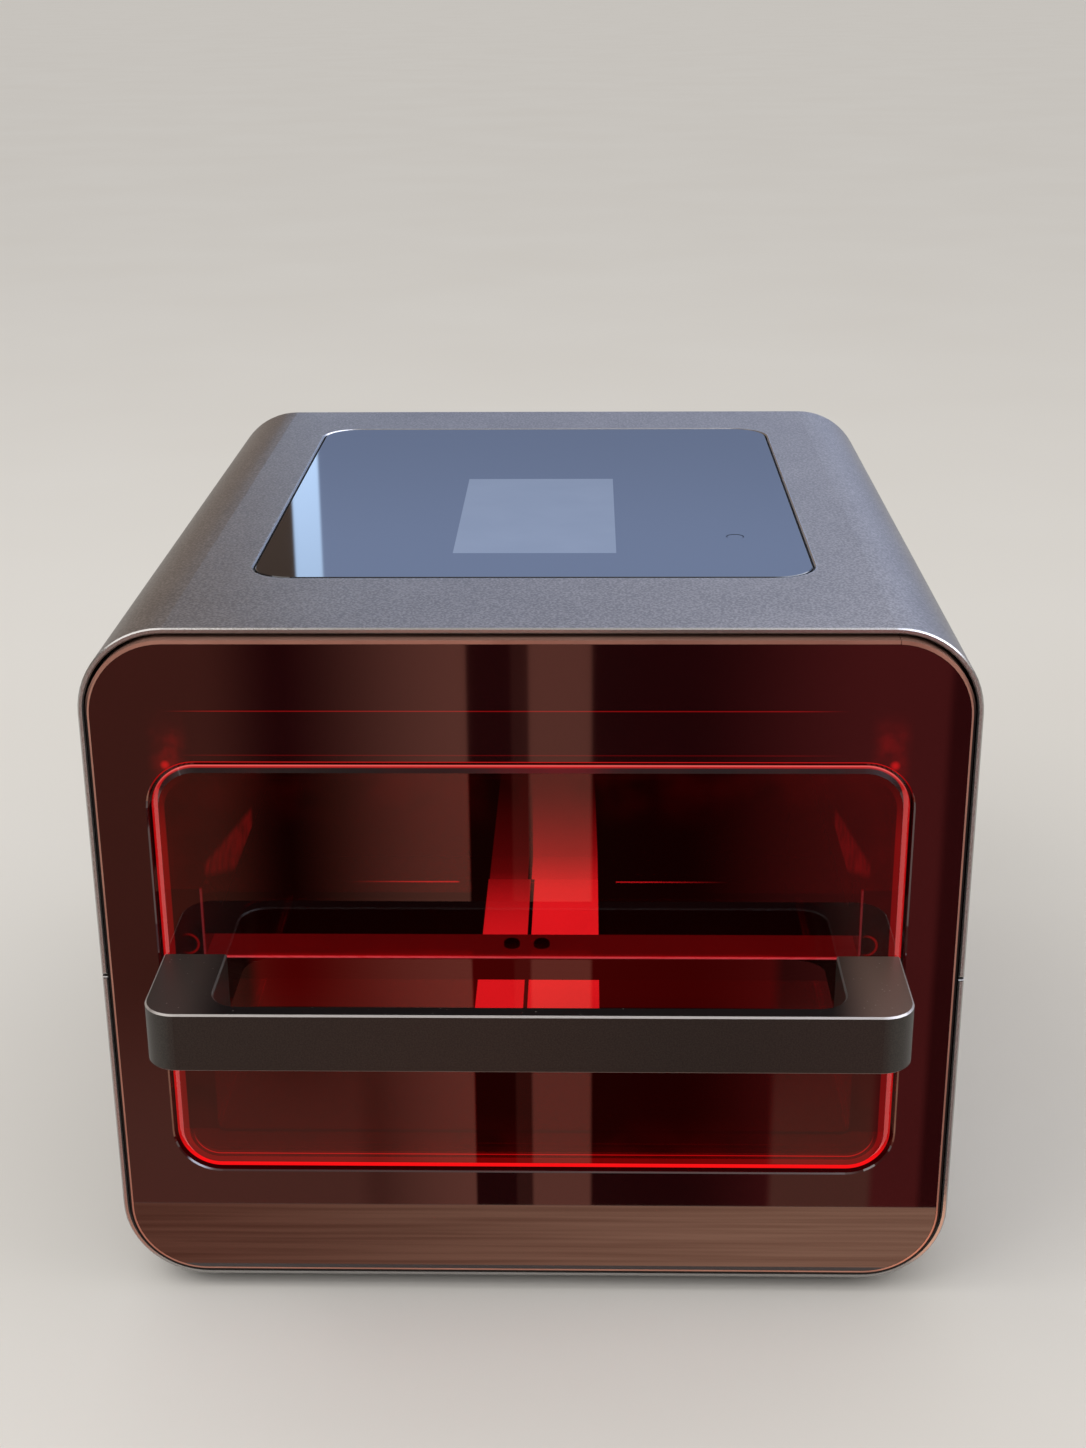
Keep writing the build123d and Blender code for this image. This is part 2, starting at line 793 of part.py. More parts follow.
def chamber_liner():
    """A folded mirror box, open at the front, with an opening over each light module."""
    wall = chamber_sheet
    outer = Rectangle(2 * (chamber_half_width + wall), chamber_height + 2 * wall)
    inner = Rectangle(2 * chamber_half_width, chamber_height)
    liner = upright(outer, chamber_y, chamber_depth + wall, z=chamber_z)
    liner -= upright(inner, chamber_y, chamber_depth, z=chamber_z)
    light = Rectangle(module_width - 2 * module_border, module_length - 2 * module_border)
    for x in (-module_centre_x, module_centre_x):
        liner -= flat(light, chamber_top_z, wall, x, module_y)
    liner -= flat(light, chamber_floor_z - wall, wall, 0, module_y)
    return liner - upright(shank(probe_radius + probe_wall_gap), chamber_back_y, wall, probe_x, probe_z)


def module_at(shape, place):
    """Carry a light module piece from its own frame, where +Z leaves the chamber, to its place."""
    spots = {
        "left": Pos(-module_centre_x, module_y, chamber_top_z + chamber_sheet),
        "right": Pos(module_centre_x, module_y, chamber_top_z + chamber_sheet),
        "floor": Pos(0, module_y, chamber_floor_z - chamber_sheet) * Rot(180, 0, 0),
    }
    return spots[place] * shape


def led_window():
    return flat(Rectangle(module_width, module_length), 0, module_window)


def led_frame():
    outer = Rectangle(module_width, module_length)
    inner = Rectangle(module_width - 2 * module_frame_wall, module_length - 2 * module_frame_wall)
    return flat(outer - inner, module_window, module_frame_height)


def led_board():
    z = module_window + module_frame_height
    board = flat(Rectangle(module_width, module_length), z, module_board)
    leds = [
        Pos(x, y) * Rectangle(led_size, led_size)
        for x in row_of(led_columns, led_column_pitch)
        for y in row_of(led_rows, led_row_pitch)
    ]
    return board + flat(Sketch() + leds, z - led_height, led_height)


def heat_sink():
    z = module_window + module_frame_height + module_board
    sink = flat(Rectangle(module_width, module_length), z, sink_base)
    pitch = (module_width - sink_fin_thickness) / (sink_fin_count - 1)
    fins = [Pos(x, 0) * Rectangle(sink_fin_thickness, module_length) for x in row_of(sink_fin_count, pitch)]
    return sink + flat(Sketch() + fins, z + sink_base, sink_fin_height)


# ---------------------------------------------------------------- runners
def runner_channel(web_x, flange_x, half_height):
    """A C channel lying on its side: an upright web and a flange along its top and its bottom."""
    y = (runner_y, runner_y + runner_length)
    channel = block(web_x, y, (runner_z - half_height, runner_z + half_height))
    for side in (-1, 1):
        edge_z = runner_z + side * half_height
        channel += block(flange_x, y, sorted((edge_z, edge_z - side * runner_sheet)))
    return channel


def runner_outer():
    """The member on the chamber wall, with lips that hold the middle member in."""
    half = runner_height / 2
    lip_x = (tray_half_width + runner_lip_offset, tray_half_width + runner_lip_offset + runner_sheet)
    web_x = (chamber_half_width - runner_sheet, chamber_half_width)
    member = runner_channel(web_x, (lip_x[0], chamber_half_width), half)
    y = (runner_y, runner_y + runner_length)
    lip_height = 2 * runner_sheet + runner_gap
    for side in (-1, 1):
        edge_z = runner_z + side * half
        member += block(lip_x, y, sorted((edge_z, edge_z - side * lip_height)))
    return member


def runner_middle():
    half = runner_height / 2 - runner_sheet - runner_gap
    outer_x = chamber_half_width - runner_sheet - runner_gap
    inner_x = tray_half_width + runner_lip_offset + runner_sheet + runner_gap
    return runner_channel((outer_x - runner_sheet, outer_x), (inner_x, outer_x), half)


def runner_inner():
    half = runner_height / 2 - 2 * (runner_sheet + runner_gap)
    outer_x = chamber_half_width - 2 * (runner_sheet + runner_gap)
    return runner_channel((tray_half_width, tray_half_width + runner_sheet), (tray_half_width, outer_x), half)


# ---------------------------------------------------------------- control panel
def control_glass():
    outline = RectangleRounded(glass_width, glass_depth, glass_corner_radius)
    sheet = flat(outline, glass_bottom_z, glass_thickness, y=glass_y)
    sheet = chamfer(sheet.edges().group_by(Axis.Z)[-1], glass_edge_chamfer)
    hole = Circle(button_radius + button_glass_gap)
    return sheet - flat(hole, glass_bottom_z, glass_thickness, button_x, button_y)


def board_post_places():
    half_x = board_width / 2 - board_post_inset
    half_y = board_depth / 2 - board_post_inset
    return [(board_centre_x + x, display_y + y) for x, y in four_corners(half_x, half_y)]


def control_carrier():
    """The tray under the glass, with a pocket for it, an opening for the display and posts for the board."""
    border = glass_gap + carrier_border
    outline = cut_corners(glass_width + 2 * border, glass_depth + 2 * border, carrier_corner)
    plate = flat(outline, carrier_bottom_z, carrier_thickness, y=glass_y)
    pocket = Rectangle(glass_width + 2 * carrier_pocket_gap, glass_depth + 2 * carrier_pocket_gap)
    plate -= flat(pocket, glass_bottom_z, glass_thickness, y=glass_y)
    view = Rectangle(display_width + 2 * display_gap, display_depth + 2 * display_gap)
    plate -= flat(view, carrier_bottom_z, carrier_thickness, y=display_y)
    guide = Circle(button_radius + button_guide_gap)
    plate -= flat(guide, carrier_bottom_z, carrier_thickness, button_x, button_y)
    post = Rectangle(carrier_post, carrier_post)
    for x, y in board_post_places():
        plate += flat(post, board_top_z, carrier_bottom_z - board_top_z, x, y)
    return plate


def display_module():
    z = glass_bottom_z - display_thickness
    return flat(Rectangle(display_width, display_depth), z, display_thickness, y=display_y)


def control_board():
    z = board_top_z - board_thickness
    board = flat(Rectangle(board_width, board_depth), z, board_thickness, board_centre_x, display_y)
    board += flat(Rectangle(chip_size, chip_size), board_top_z, chip_height, 0, display_y)
    socket_y = (board_end_y - ribbon_socket_depth, board_end_y - 1)
    socket_z = (board_top_z, board_top_z + ribbon_socket_height)
    return board + block(about(0, ribbon_width + 2 * ribbon_socket_border), socket_y, socket_z)


def tact_switch():
    top = button_bottom_z - button_travel - button_free_gap
    body_height = top - tact_plunger_height - board_top_z
    body = flat(Rectangle(tact_size, tact_size), board_top_z, body_height, button_x, button_y)
    plunger = Rectangle(tact_plunger, tact_plunger)
    return body + flat(plunger, top - tact_plunger_height, tact_plunger_height, button_x, button_y)


def power_button():
    height = top_z - button_recess - button_bottom_z
    cap = flat(Circle(button_radius), button_bottom_z, height, button_x, button_y)
    flange = RegularPolygon(button_flange_radius, screw_head_sides)
    return cap + flat(flange, button_bottom_z, button_flange_height, button_x, button_y)


# ---------------------------------------------------------------- back panel and what it carries
def fan_screw_places(side):
    half = fan_screw_pitch / 2
    return [(side * fan_centre_x + dx, fan_z + dz) for dx, dz in four_corners(half, half)]


def inlet_screw_places():
    half = inlet_body_width / 2 + m3 + inlet_flange_thickness
    return [(inlet_x - half, inlet_z), (inlet_x + half, inlet_z)]


def rear_panel():
    width = 2 * (inner_half_width - panel_gap)
    height = housing_height - 2 * (housing_wall + panel_gap)
    radius = housing_corner_radius - housing_wall - panel_gap
    panel = upright(RectangleRounded(width, height, radius), panel_y, panel_thickness, z=mid_z)
    cuts = []
    for side in (-1, 1):
        for dz in row_of(grille_slots, grille_pitch):
            length = 2 * sqrt(fan_duct_radius ** 2 - dz ** 2)
            cuts.append(Pos(side * fan_centre_x, fan_z + dz) * Rectangle(length, grille_slot))
    places = sum(panel_screw_places(), fan_screw_places(-1) + fan_screw_places(1)) + inlet_screw_places()
    cuts += [Pos(x, z) * screw_hole(m3) for x, z in places]
    slack = 2 * cutout_gap
    cuts.append(Pos(inlet_x, inlet_z) * Rectangle(inlet_body_width + slack, inlet_body_height + slack))
    cuts.append(Pos(switch_x, switch_z) * Rectangle(switch_body_width + slack, switch_body_height + slack))
    cuts.append(Pos(usb_x, usb_z) * Rectangle(usb_width + slack, usb_tall + slack))
    return panel - upright(Sketch() + cuts, panel_y, panel_thickness)


def panel_screws():
    places = sum(panel_screw_places(), [])
    screws = [screw_y(m3, panel_face_y, panel_screw_length, x, z, towards=-1) for x, z in places]
    seat_y = panel_face_y + inlet_flange_thickness
    screws += [screw_y(m3, seat_y, panel_screw_length, x, z, towards=-1) for x, z in inlet_screw_places()]
    return Compound(screws)


def fan_screws():
    places = fan_screw_places(-1) + fan_screw_places(1)
    return Compound([screw_y(m3, panel_face_y, fan_screw_length, x, z, towards=-1) for x, z in places])


def fan_frame(side):
    """A square fan frame: its duct, a motor disc on four struts and the tube of its bearing."""
    x = side * fan_centre_x
    outline = cut_corners(fan_size, fan_size, fan_corner)
    duct = RegularPolygon(fan_duct_radius, fan_duct_sides)
    frame = upright(outline - duct, fan_y, fan_depth, x, fan_z)
    strut_length = 2 * fan_duct_radius + fan_strut_width
    struts = [Rot(0, 0, angle) * Rectangle(strut_length, fan_strut_width) for angle in (45, 135)]
    spider = Sketch() + struts + RegularPolygon(fan_hub_radius, fan_hub_sides)
    frame += upright(spider, fan_y, fan_spider_depth, x, fan_z)
    bearing = RegularPolygon(fan_bearing_radius, fan_hub_sides)
    frame += upright(bearing, fan_y, fan_spider_depth + fan_bearing_length, x, fan_z)
    bore = Circle(fan_shaft_radius + fan_shaft_gap)
    frame -= upright(bore, fan_y + fan_shaft_end_gap, fan_depth, x, fan_z)
    for hole_x, hole_z in fan_screw_places(side):
        frame -= upright(screw_hole(m3), fan_y, fan_depth, hole_x, hole_z)
    return frame


def fan_blade(hub_y, hub_length):
    """One bent blade that stands up from the hub, pitched to the shaft."""
    half = fan_blade_chord / 2
    skin = fan_blade_thickness
    section = Polygon(
        (-half, 0), (0, fan_blade_camber), (half, 0),
        (half, skin), (0, fan_blade_camber + skin), (-half, skin),
        align=None,
    )
    sweep = half * sin(radians(fan_blade_pitch)) + fan_blade_camber + skin
    tip = sqrt((fan_duct_radius - fan_tip_gap) ** 2 - sweep ** 2)
    root = fan_hub_radius * cos(pi / fan_hub_sides) - skin
    turned = Pos(hub_y + hub_length / 2, 0) * Rot(0, 0, fan_blade_pitch) * section
    return sideways(turned, root, tip - root)


def fan_rotor(side):
    """Hub cup with bent blades, on a shaft that runs in the frame's bearing."""
    hub_y = fan_y + fan_spider_depth + fan_hub_gap
    hub_length = fan_depth - fan_spider_depth - 3 * fan_hub_gap
    cup_depth = fan_bearing_length
    rotor = upright(RegularPolygon(fan_hub_radius, fan_hub_sides), hub_y, hub_length)
    rotor -= upright(RegularPolygon(fan_hub_radius - fan_hub_gap, fan_hub_sides), hub_y, cup_depth)
    blade = fan_blade(hub_y, hub_length)
    for i in range(fan_blades):
        rotor += Rot(0, 360 * i / fan_blades, 0) * blade
    shaft_y = fan_y + 2 * fan_shaft_end_gap
    rotor += upright(Circle(fan_shaft_radius), shaft_y, hub_y + cup_depth + fan_hub_gap - shaft_y)
    return Pos(side * fan_centre_x, 0, fan_z) * rotor


def mains_inlet():
    reach = inlet_screw_places()[1][0] - inlet_x + screw_head_share * m3 + inlet_flange_rim
    tall = inlet_body_height + 2 * inlet_flange_rim
    flange = cut_corners(2 * reach, tall, inlet_socket_corner)
    inlet = upright(flange, panel_face_y, inlet_flange_thickness, inlet_x, inlet_z)
    body = Rectangle(inlet_body_width, inlet_body_height)
    inlet += upright(body, panel_face_y - inlet_body_depth, inlet_body_depth, inlet_x, inlet_z)
    socket = Rectangle(inlet_socket_width, inlet_socket_height)
    socket = chamfer(socket.vertices().group_by(Axis.Y)[-1], inlet_socket_corner)
    floor_y = panel_face_y + inlet_flange_thickness - inlet_socket_depth
    inlet -= upright(socket, floor_y, inlet_socket_depth, inlet_x, inlet_z)
    pin = Rectangle(inlet_pin_width, inlet_pin_height)
    pins = [Pos(x, -inlet_pin_drop) * pin for x in (-inlet_pin_pitch, inlet_pin_pitch)]
    pins.append(Pos(0, inlet_pin_rise) * pin)
    inlet += upright(Sketch() + pins, floor_y, inlet_socket_depth - inlet_pin_inset, inlet_x, inlet_z)
    for x, z in inlet_screw_places():
        inlet -= upright(screw_hole(m3), panel_face_y, inlet_flange_thickness, x, z)
    return inlet


def mains_switch_housing():
    rim = 2 * switch_bezel_rim
    flange = Rectangle(switch_body_width + rim, switch_body_height + rim)
    housing = upright(flange, panel_face_y, switch_bezel_rim, switch_x, switch_z)
    body = Rectangle(switch_body_width, switch_body_height)
    housing += upright(body, panel_face_y - switch_body_depth, switch_body_depth, switch_x, switch_z)
    reach = rocker_radius + rocker_gap
    half_width = rocker_width / 2 + rocker_gap
    well_x = about(switch_x, 2 * half_width)
    housing -= block(well_x, (rocker_pivot_y - reach, rear_y + switch_bezel_rim), about(switch_z, 2 * reach))
    pin_reach = half_width + rocker_pin_length
    pin_hole = Pos(rocker_pivot_y, switch_z) * Circle(rocker_pin_radius + rocker_pin_gap)
    return housing - sideways(pin_hole, switch_x - pin_reach, 2 * pin_reach)


def mains_switch_rocker():
    """Rocker with round ends about its pin, a shallow V face, and its off end pressed in."""
    half = rocker_radius + rocker_gap
    face = Polygon(
        (-rocker_back, -half), (rocker_end_rise, -half), (rocker_middle_rise, 0),
        (rocker_end_rise, half), (-rocker_back, half),
        align=None,
    )
    outline = RegularPolygon(rocker_radius, rocker_sides) & face
    outline = Pos(rocker_pivot_y, switch_z) * Rot(0, 0, rocker_tilt) * outline
    rocker = sideways(outline, switch_x - rocker_width / 2, rocker_width)
    pin = Pos(rocker_pivot_y, switch_z) * Circle(rocker_pin_radius)
    pin_reach = rocker_width / 2 + rocker_pin_length
    return rocker + sideways(pin, switch_x - pin_reach, 2 * pin_reach)


def usb_port():
    back_y = panel_face_y - usb_body_depth
    shell = Rectangle(usb_width, usb_tall)
    port = upright(shell, back_y, usb_body_depth + usb_proud, usb_x, usb_z)
    socket = Rectangle(usb_width - 2 * usb_wall, usb_tall - 2 * usb_wall)
    socket_y = panel_face_y - usb_socket_depth
    port -= upright(socket, socket_y, usb_socket_depth + usb_proud, usb_x, usb_z)
    tongue = Pos(0, usb_wall) * Rectangle(usb_width - 4 * usb_wall, usb_tongue_thickness)
    port += upright(tongue, socket_y, usb_tongue_length, usb_x, usb_z)
    ears = Rectangle(usb_width + 2 * usb_ear, usb_tall + usb_ear) - socket
    return port + upright(ears, panel_y - usb_ear_thickness, usb_ear_thickness, usb_x, usb_z)


# ---------------------------------------------------------------- inside, below and behind the chamber
def chassis_base():
    """The floor plate inside the housing, with a folded wall on each side that carries the chamber."""
    top = chamber_floor_z - chamber_sheet
    half = chassis_half_width
    floor_y = (chamber_y, panel_y - panel_tab_depth - chassis_end_gap)
    chassis = block((-half, half), floor_y, (chassis_z, chassis_z + chassis_sheet))
    side_y = (chamber_y, chamber_back_y)
    side = block((half - chassis_sheet, half), side_y, (chassis_z, top))
    side += block((half - chassis_flange, half), side_y, (top - chassis_sheet, top))
    chassis += side + mirrored(side)
    cuts = [Pos(x, y) * screw_hole(m4) for x, y in foot_places()]
    over_vents = Rectangle(vent_length, vent_rows * vent_pitch)
    cuts += [Pos(x, vents_y) * over_vents for x in (-vent_column_x, vent_column_x)]
    return chassis - flat(Sketch() + cuts, chassis_z, chassis_sheet)


def heater_mat():
    y = chamber_back_y + chamber_sheet
    return upright(Rectangle(heater_width, heater_height), y, heater_thickness, z=chamber_z)


def insulation_pad():
    outline = Rectangle(heater_width + 2 * pad_overlap, heater_height + 2 * pad_overlap)
    pad = upright(outline, pad_y, pad_thickness, z=chamber_z)
    hole = Rectangle(3 * probe_radius, 3 * probe_radius)
    return pad - upright(hole, pad_y, pad_thickness, probe_x, probe_z)


def temperature_probe():
    length = probe_reach + chamber_sheet + probe_tail
    return upright(shank(probe_radius), chamber_back_y - probe_reach, length, probe_x, probe_z)


def main_board():
    """The board behind the chamber: a transformer, a row of capacitors, the ribbon's socket and its posts."""
    z = main_board_z
    back = main_board_back_y
    board = upright(Rectangle(main_board_width, main_board_height), main_board_y, main_board_thickness, z=z)
    transformer = Pos(main_board_width / 4, 0) * Rectangle(transformer_size, transformer_size)
    board += upright(transformer, back, transformer_height, z=z)
    capacitor = Rectangle(capacitor_size, capacitor_size)
    for x in row_of(3, capacitor_pitch):
        board += upright(capacitor, back, capacitor_height, x - main_board_width / 4, z)
    socket_z = (ribbon_socket_top_z - ribbon_socket_drop, ribbon_socket_top_z)
    socket_x = about(0, ribbon_width + 2 * ribbon_socket_border)
    board += block(socket_x, (back, back + ribbon_socket_depth), socket_z)
    post = Rectangle(main_board_post, main_board_post)
    half_x = main_board_width / 2 - main_board_inset
    half_z = main_board_height / 2 - main_board_inset
    for x, dz in four_corners(half_x, half_z):
        board += upright(post, main_board_y - main_board_standoff, main_board_standoff, x, z + dz)
    return board


def power_supply():
    """A boxed supply on the chassis floor, cut back at one corner for its terminals."""
    floor_z = chassis_z + chassis_sheet
    supply_top_z = main_board_z - main_board_height / 2 - supply_gap
    back_y = panel_y - panel_tab_depth - supply_tab_gap
    x = (supply_side_gap - chassis_half_width, inlet_x - inlet_body_width / 2 - supply_inlet_gap)
    supply = block(x, (back_y - supply_depth, back_y), (floor_z, supply_top_z))
    corner_x = (x[1] - supply_terminal_width, x[1])
    corner_y = (back_y - supply_terminal_depth, back_y)
    return supply - block(corner_x, corner_y, ((floor_z + supply_top_z) / 2, supply_top_z))


def reed_switch():
    """Switch behind the bulkhead that the magnet on the drawer closes."""
    z = top_z - reed_drop
    return block(about(reed_x, reed_length), (chamber_y, chamber_y + reed_size), about(z, reed_size))


def interlock_magnet():
    """Magnet on the back of the drawer frame, which faces the reed switch through the bulkhead."""
    z = top_z - magnet_drop
    y = bezel_back_y - bezel_flange_thickness
    return block(about(reed_x, magnet_length), (y, y + magnet_size), about(z, magnet_size))


def ribbon_cable():
    """Flat cable from the control board's back end, folded down to the socket on the main board."""
    start = (board_end_y - 1, board_top_z + ribbon_socket_height / 2)
    corner = (main_board_back_y + ribbon_socket_depth / 2, start[1])
    end = (corner[0], ribbon_socket_top_z)
    path = FilletPolyline(start, corner, end, radius=ribbon_bend_radius)
    return sideways(trace(path, ribbon_thickness), -ribbon_width / 2, ribbon_width)


pieces = {
    "top_shell": top_shell,
    "bottom_shell": bottom_shell,
    "rubber_feet": rubber_feet,
    "foot_screws": foot_screws,
    "drawer_bezel": drawer_bezel,
    "drawer_fascia": drawer_fascia,
    "window_pane": window_pane,
    "drawer_frame": drawer_frame,
    "drawer_seal": drawer_seal,
    "handle": handle,
    "handle_screws": handle_screws,
    "drawer_pan": drawer_pan,
    "handle_bracket": handle_bracket,
    "pane_clamp": pane_clamp,
    "bracket_screws": bracket_screws,
    "curing_plate": curing_plate,
    "front_bulkhead": front_bulkhead,
    "chamber_liner": chamber_liner,
    "control_glass": control_glass,
    "control_carrier": control_carrier,
    "display_module": display_module,
    "control_board": control_board,
    "tact_switch": tact_switch,
    "power_button": power_button,
    "rear_panel": rear_panel,
    "panel_screws": panel_screws,
    "fan_screws": fan_screws,
    "mains_inlet": mains_inlet,
    "mains_switch_housing": mains_switch_housing,
    "mains_switch_rocker": mains_switch_rocker,
    "usb_port": usb_port,
    "chassis_base": chassis_base,
    "heater_mat": heater_mat,
    "insulation_pad": insulation_pad,
    "temperature_probe": temperature_probe,
    "main_board": main_board,
    "power_supply": power_supply,
    "reed_switch": reed_switch,
    "interlock_magnet": interlock_magnet,
    "ribbon_cable": ribbon_cable,
}

for name, make in pieces.items():
    save(name, make())

for place in ("left", "right", "floor"):
    save(f"led_window_{place}", module_at(led_window(), place))
    save(f"led_board_{place}", module_at(led_board(), place))
    save(f"heat_sink_{place}", module_at(heat_sink(), place))
save("led_frames", Compound([module_at(led_frame(), place) for place in ("left", "right", "floor")]))

for member, make in (("outer", runner_outer), ("middle", runner_middle), ("inner", runner_inner)):
    save(f"runner_{member}_right", make())
    save(f"runner_{member}_left", mirrored(make()))

for side, name in ((-1, "left"), (1, "right")):
    save(f"fan_frame_{name}", fan_frame(side))
    save(f"fan_rotor_{name}", fan_rotor(side))
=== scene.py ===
import math

import bmesh
import bpy
from bpy.props import FloatProperty, FloatVectorProperty, PointerProperty, StringProperty
from mathutils import Matrix, Vector


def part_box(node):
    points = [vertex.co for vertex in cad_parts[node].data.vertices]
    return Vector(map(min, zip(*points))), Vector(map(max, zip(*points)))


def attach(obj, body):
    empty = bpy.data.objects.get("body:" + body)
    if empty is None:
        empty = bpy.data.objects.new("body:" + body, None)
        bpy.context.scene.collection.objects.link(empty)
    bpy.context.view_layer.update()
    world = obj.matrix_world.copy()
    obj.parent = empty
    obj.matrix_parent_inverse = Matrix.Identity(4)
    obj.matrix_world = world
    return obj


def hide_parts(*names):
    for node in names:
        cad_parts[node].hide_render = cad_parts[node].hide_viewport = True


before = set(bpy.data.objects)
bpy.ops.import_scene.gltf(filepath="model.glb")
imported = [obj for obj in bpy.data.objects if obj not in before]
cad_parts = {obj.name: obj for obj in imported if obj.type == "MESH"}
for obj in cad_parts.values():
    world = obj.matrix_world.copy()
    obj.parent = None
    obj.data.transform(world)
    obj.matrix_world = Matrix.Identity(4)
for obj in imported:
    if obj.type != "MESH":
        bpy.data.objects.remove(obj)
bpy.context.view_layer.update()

bl_info = {
    "name": "Light curing unit",
    "version": (1, 0, 0),
    "blender": (4, 5, 0),
    "location": "View3D > Sidebar > Curing unit",
    "description": "Dresses the packed solids of a bench-top light curing unit",
    "category": "Object",
}

MM = 0.001
RENDER_WIDTH = 1086
RENDER_HEIGHT = 1448
BLACK = (0, 0, 0, 1)
WHITE = (1, 1, 1, 1)
# the grain of rolled sheet, drawn out from front to rear
ROLLED = (1, 0.04, 1)
# corner radii in millimetres, and outlines and the painted bows of light as x and z in millimetres
GLASS_CORNER = 14.5
BEZEL_CORNER = 26.8
PANE_LOW, PANE_HIGH, PANE_CORNER = (-127.4, 52.05), (127.4, 208.15), 15.4
WINDOW_LOW, WINDOW_HIGH, WINDOW_CORNER = (-128.5, 50.95), (128.5, 209.25), 16.5
PAINTED_BOWS_X, PAINTED_BOWS_Z = (-118.2, 115.0), 142
# the point on the floor, in millimetres, that the dim card and its bands fan out from
FAN_X, FAN_Y = 19.33, 476.6
# how far the card spreads to either side, as a share of the distance from that point
FAN_LEFT, FAN_RIGHT = -0.28, 0.215


# ---------------------------------------------------------------- colours and nodes
class Wire:
    """A number that varies over a piece. Sums on wires are written as sums on numbers are."""

    def __init__(self, tree, output):
        self.tree = tree
        self.output = output

    def sum(self, operation, *others):
        """One sum on this and other wires or numbers."""
        inputs = dict(enumerate((self,) + others))
        return Wire(self.tree, add_node(self.tree, "ShaderNodeMath", inputs, operation=operation).outputs[0])

    def __add__(self, other):
        return self.sum("ADD", other)

    def __sub__(self, other):
        return self.sum("SUBTRACT", other)

    def __mul__(self, other):
        return self.sum("MULTIPLY", other)

    def __truediv__(self, other):
        return self.sum("DIVIDE", other)

    def __rsub__(self, other):
        return self.sum("MULTIPLY_ADD", -1.0, other)

    def __abs__(self):
        return self.sum("ABSOLUTE")

    def over(self, other):
        """The greater of the two."""
        return self.sum("MAXIMUM", other)

    def step(self, low, high, start=0.0, end=1.0):
        """A smooth step: start below low, end above high."""
        inputs = {"Value": self, "From Min": low, "From Max": high, "To Min": start, "To Max": end}
        node = add_node(self.tree, "ShaderNodeMapRange", inputs, interpolation_type="SMOOTHSTEP")
        return Wire(self.tree, node.outputs[0])

    def band(self, low, high, edge):
        """1 between low and high, with soft edges of that width."""
        return self.step(low - edge, low) * self.step(high, high + edge, 1.0, 0.0)

    def mix(self, first, second):
        """Two colours, mixed with this as the second one's share."""
        inputs = {0: self, 6: first, 7: second}
        return add_node(self.tree, "ShaderNodeMix", inputs, data_type="RGBA").outputs[2]


def linear(hex_colour):
    """An sRGB hex colour as the linear values that a shader takes, with full opacity."""
    channels = [int(hex_colour[i : i + 2], 16) / 255 for i in (1, 3, 5)]
    return tuple(c / 12.92 if c <= 0.04045 else ((c + 0.055) / 1.055) ** 2.4 for c in channels) + (1.0,)


def plug(tree, socket, value):
    """Gives a socket a wire or output as its link, or a number or colour as its value."""
    value = getattr(value, "output", value)
    if isinstance(value, bpy.types.NodeSocket):
        tree.links.new(value, socket)
    else:
        socket.default_value = linear(value) if isinstance(value, str) else value


def add_node(tree, kind, inputs=None, **settings):
    """Adds one node with its settings and links."""
    node = tree.nodes.new(kind)
    for name, value in settings.items():
        setattr(node, name, value)
    for socket, value in (inputs or {}).items():
        plug(tree, node.inputs[socket], value)
    return node


def axes(tree, vector):
    """A vector's x, y and z."""
    split = add_node(tree, "ShaderNodeSeparateXYZ", {"Vector": vector})
    return [Wire(tree, output) for output in split.outputs]


def ray(tree, kind):
    """1 for rays of that kind, and 0 for others."""
    return Wire(tree, add_node(tree, "ShaderNodeLightPath").outputs[f"Is {kind} Ray"])


def length(first, second):
    """The length of a line that goes first and second along two axes."""
    return (first * first + second * second).sum("SQRT")


def rim_distance(first, second, low, high, radius):
    """Millimetres from the outline of a rounded rectangle, negative inside."""
    gaps = []
    for axis, start, end in zip((first, second), low, high):
        gaps.append(abs(axis - (start + end) / 2) - ((end - start) / 2 - radius))
    corner = length(gaps[0].over(0.0), gaps[1].over(0.0))
    return corner + gaps[0].over(gaps[1]).sum("MINIMUM", 0.0) - radius


def box_mm(node):
    """The lowest and highest corner of a CAD node, in millimetres."""
    return [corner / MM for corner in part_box(node)]


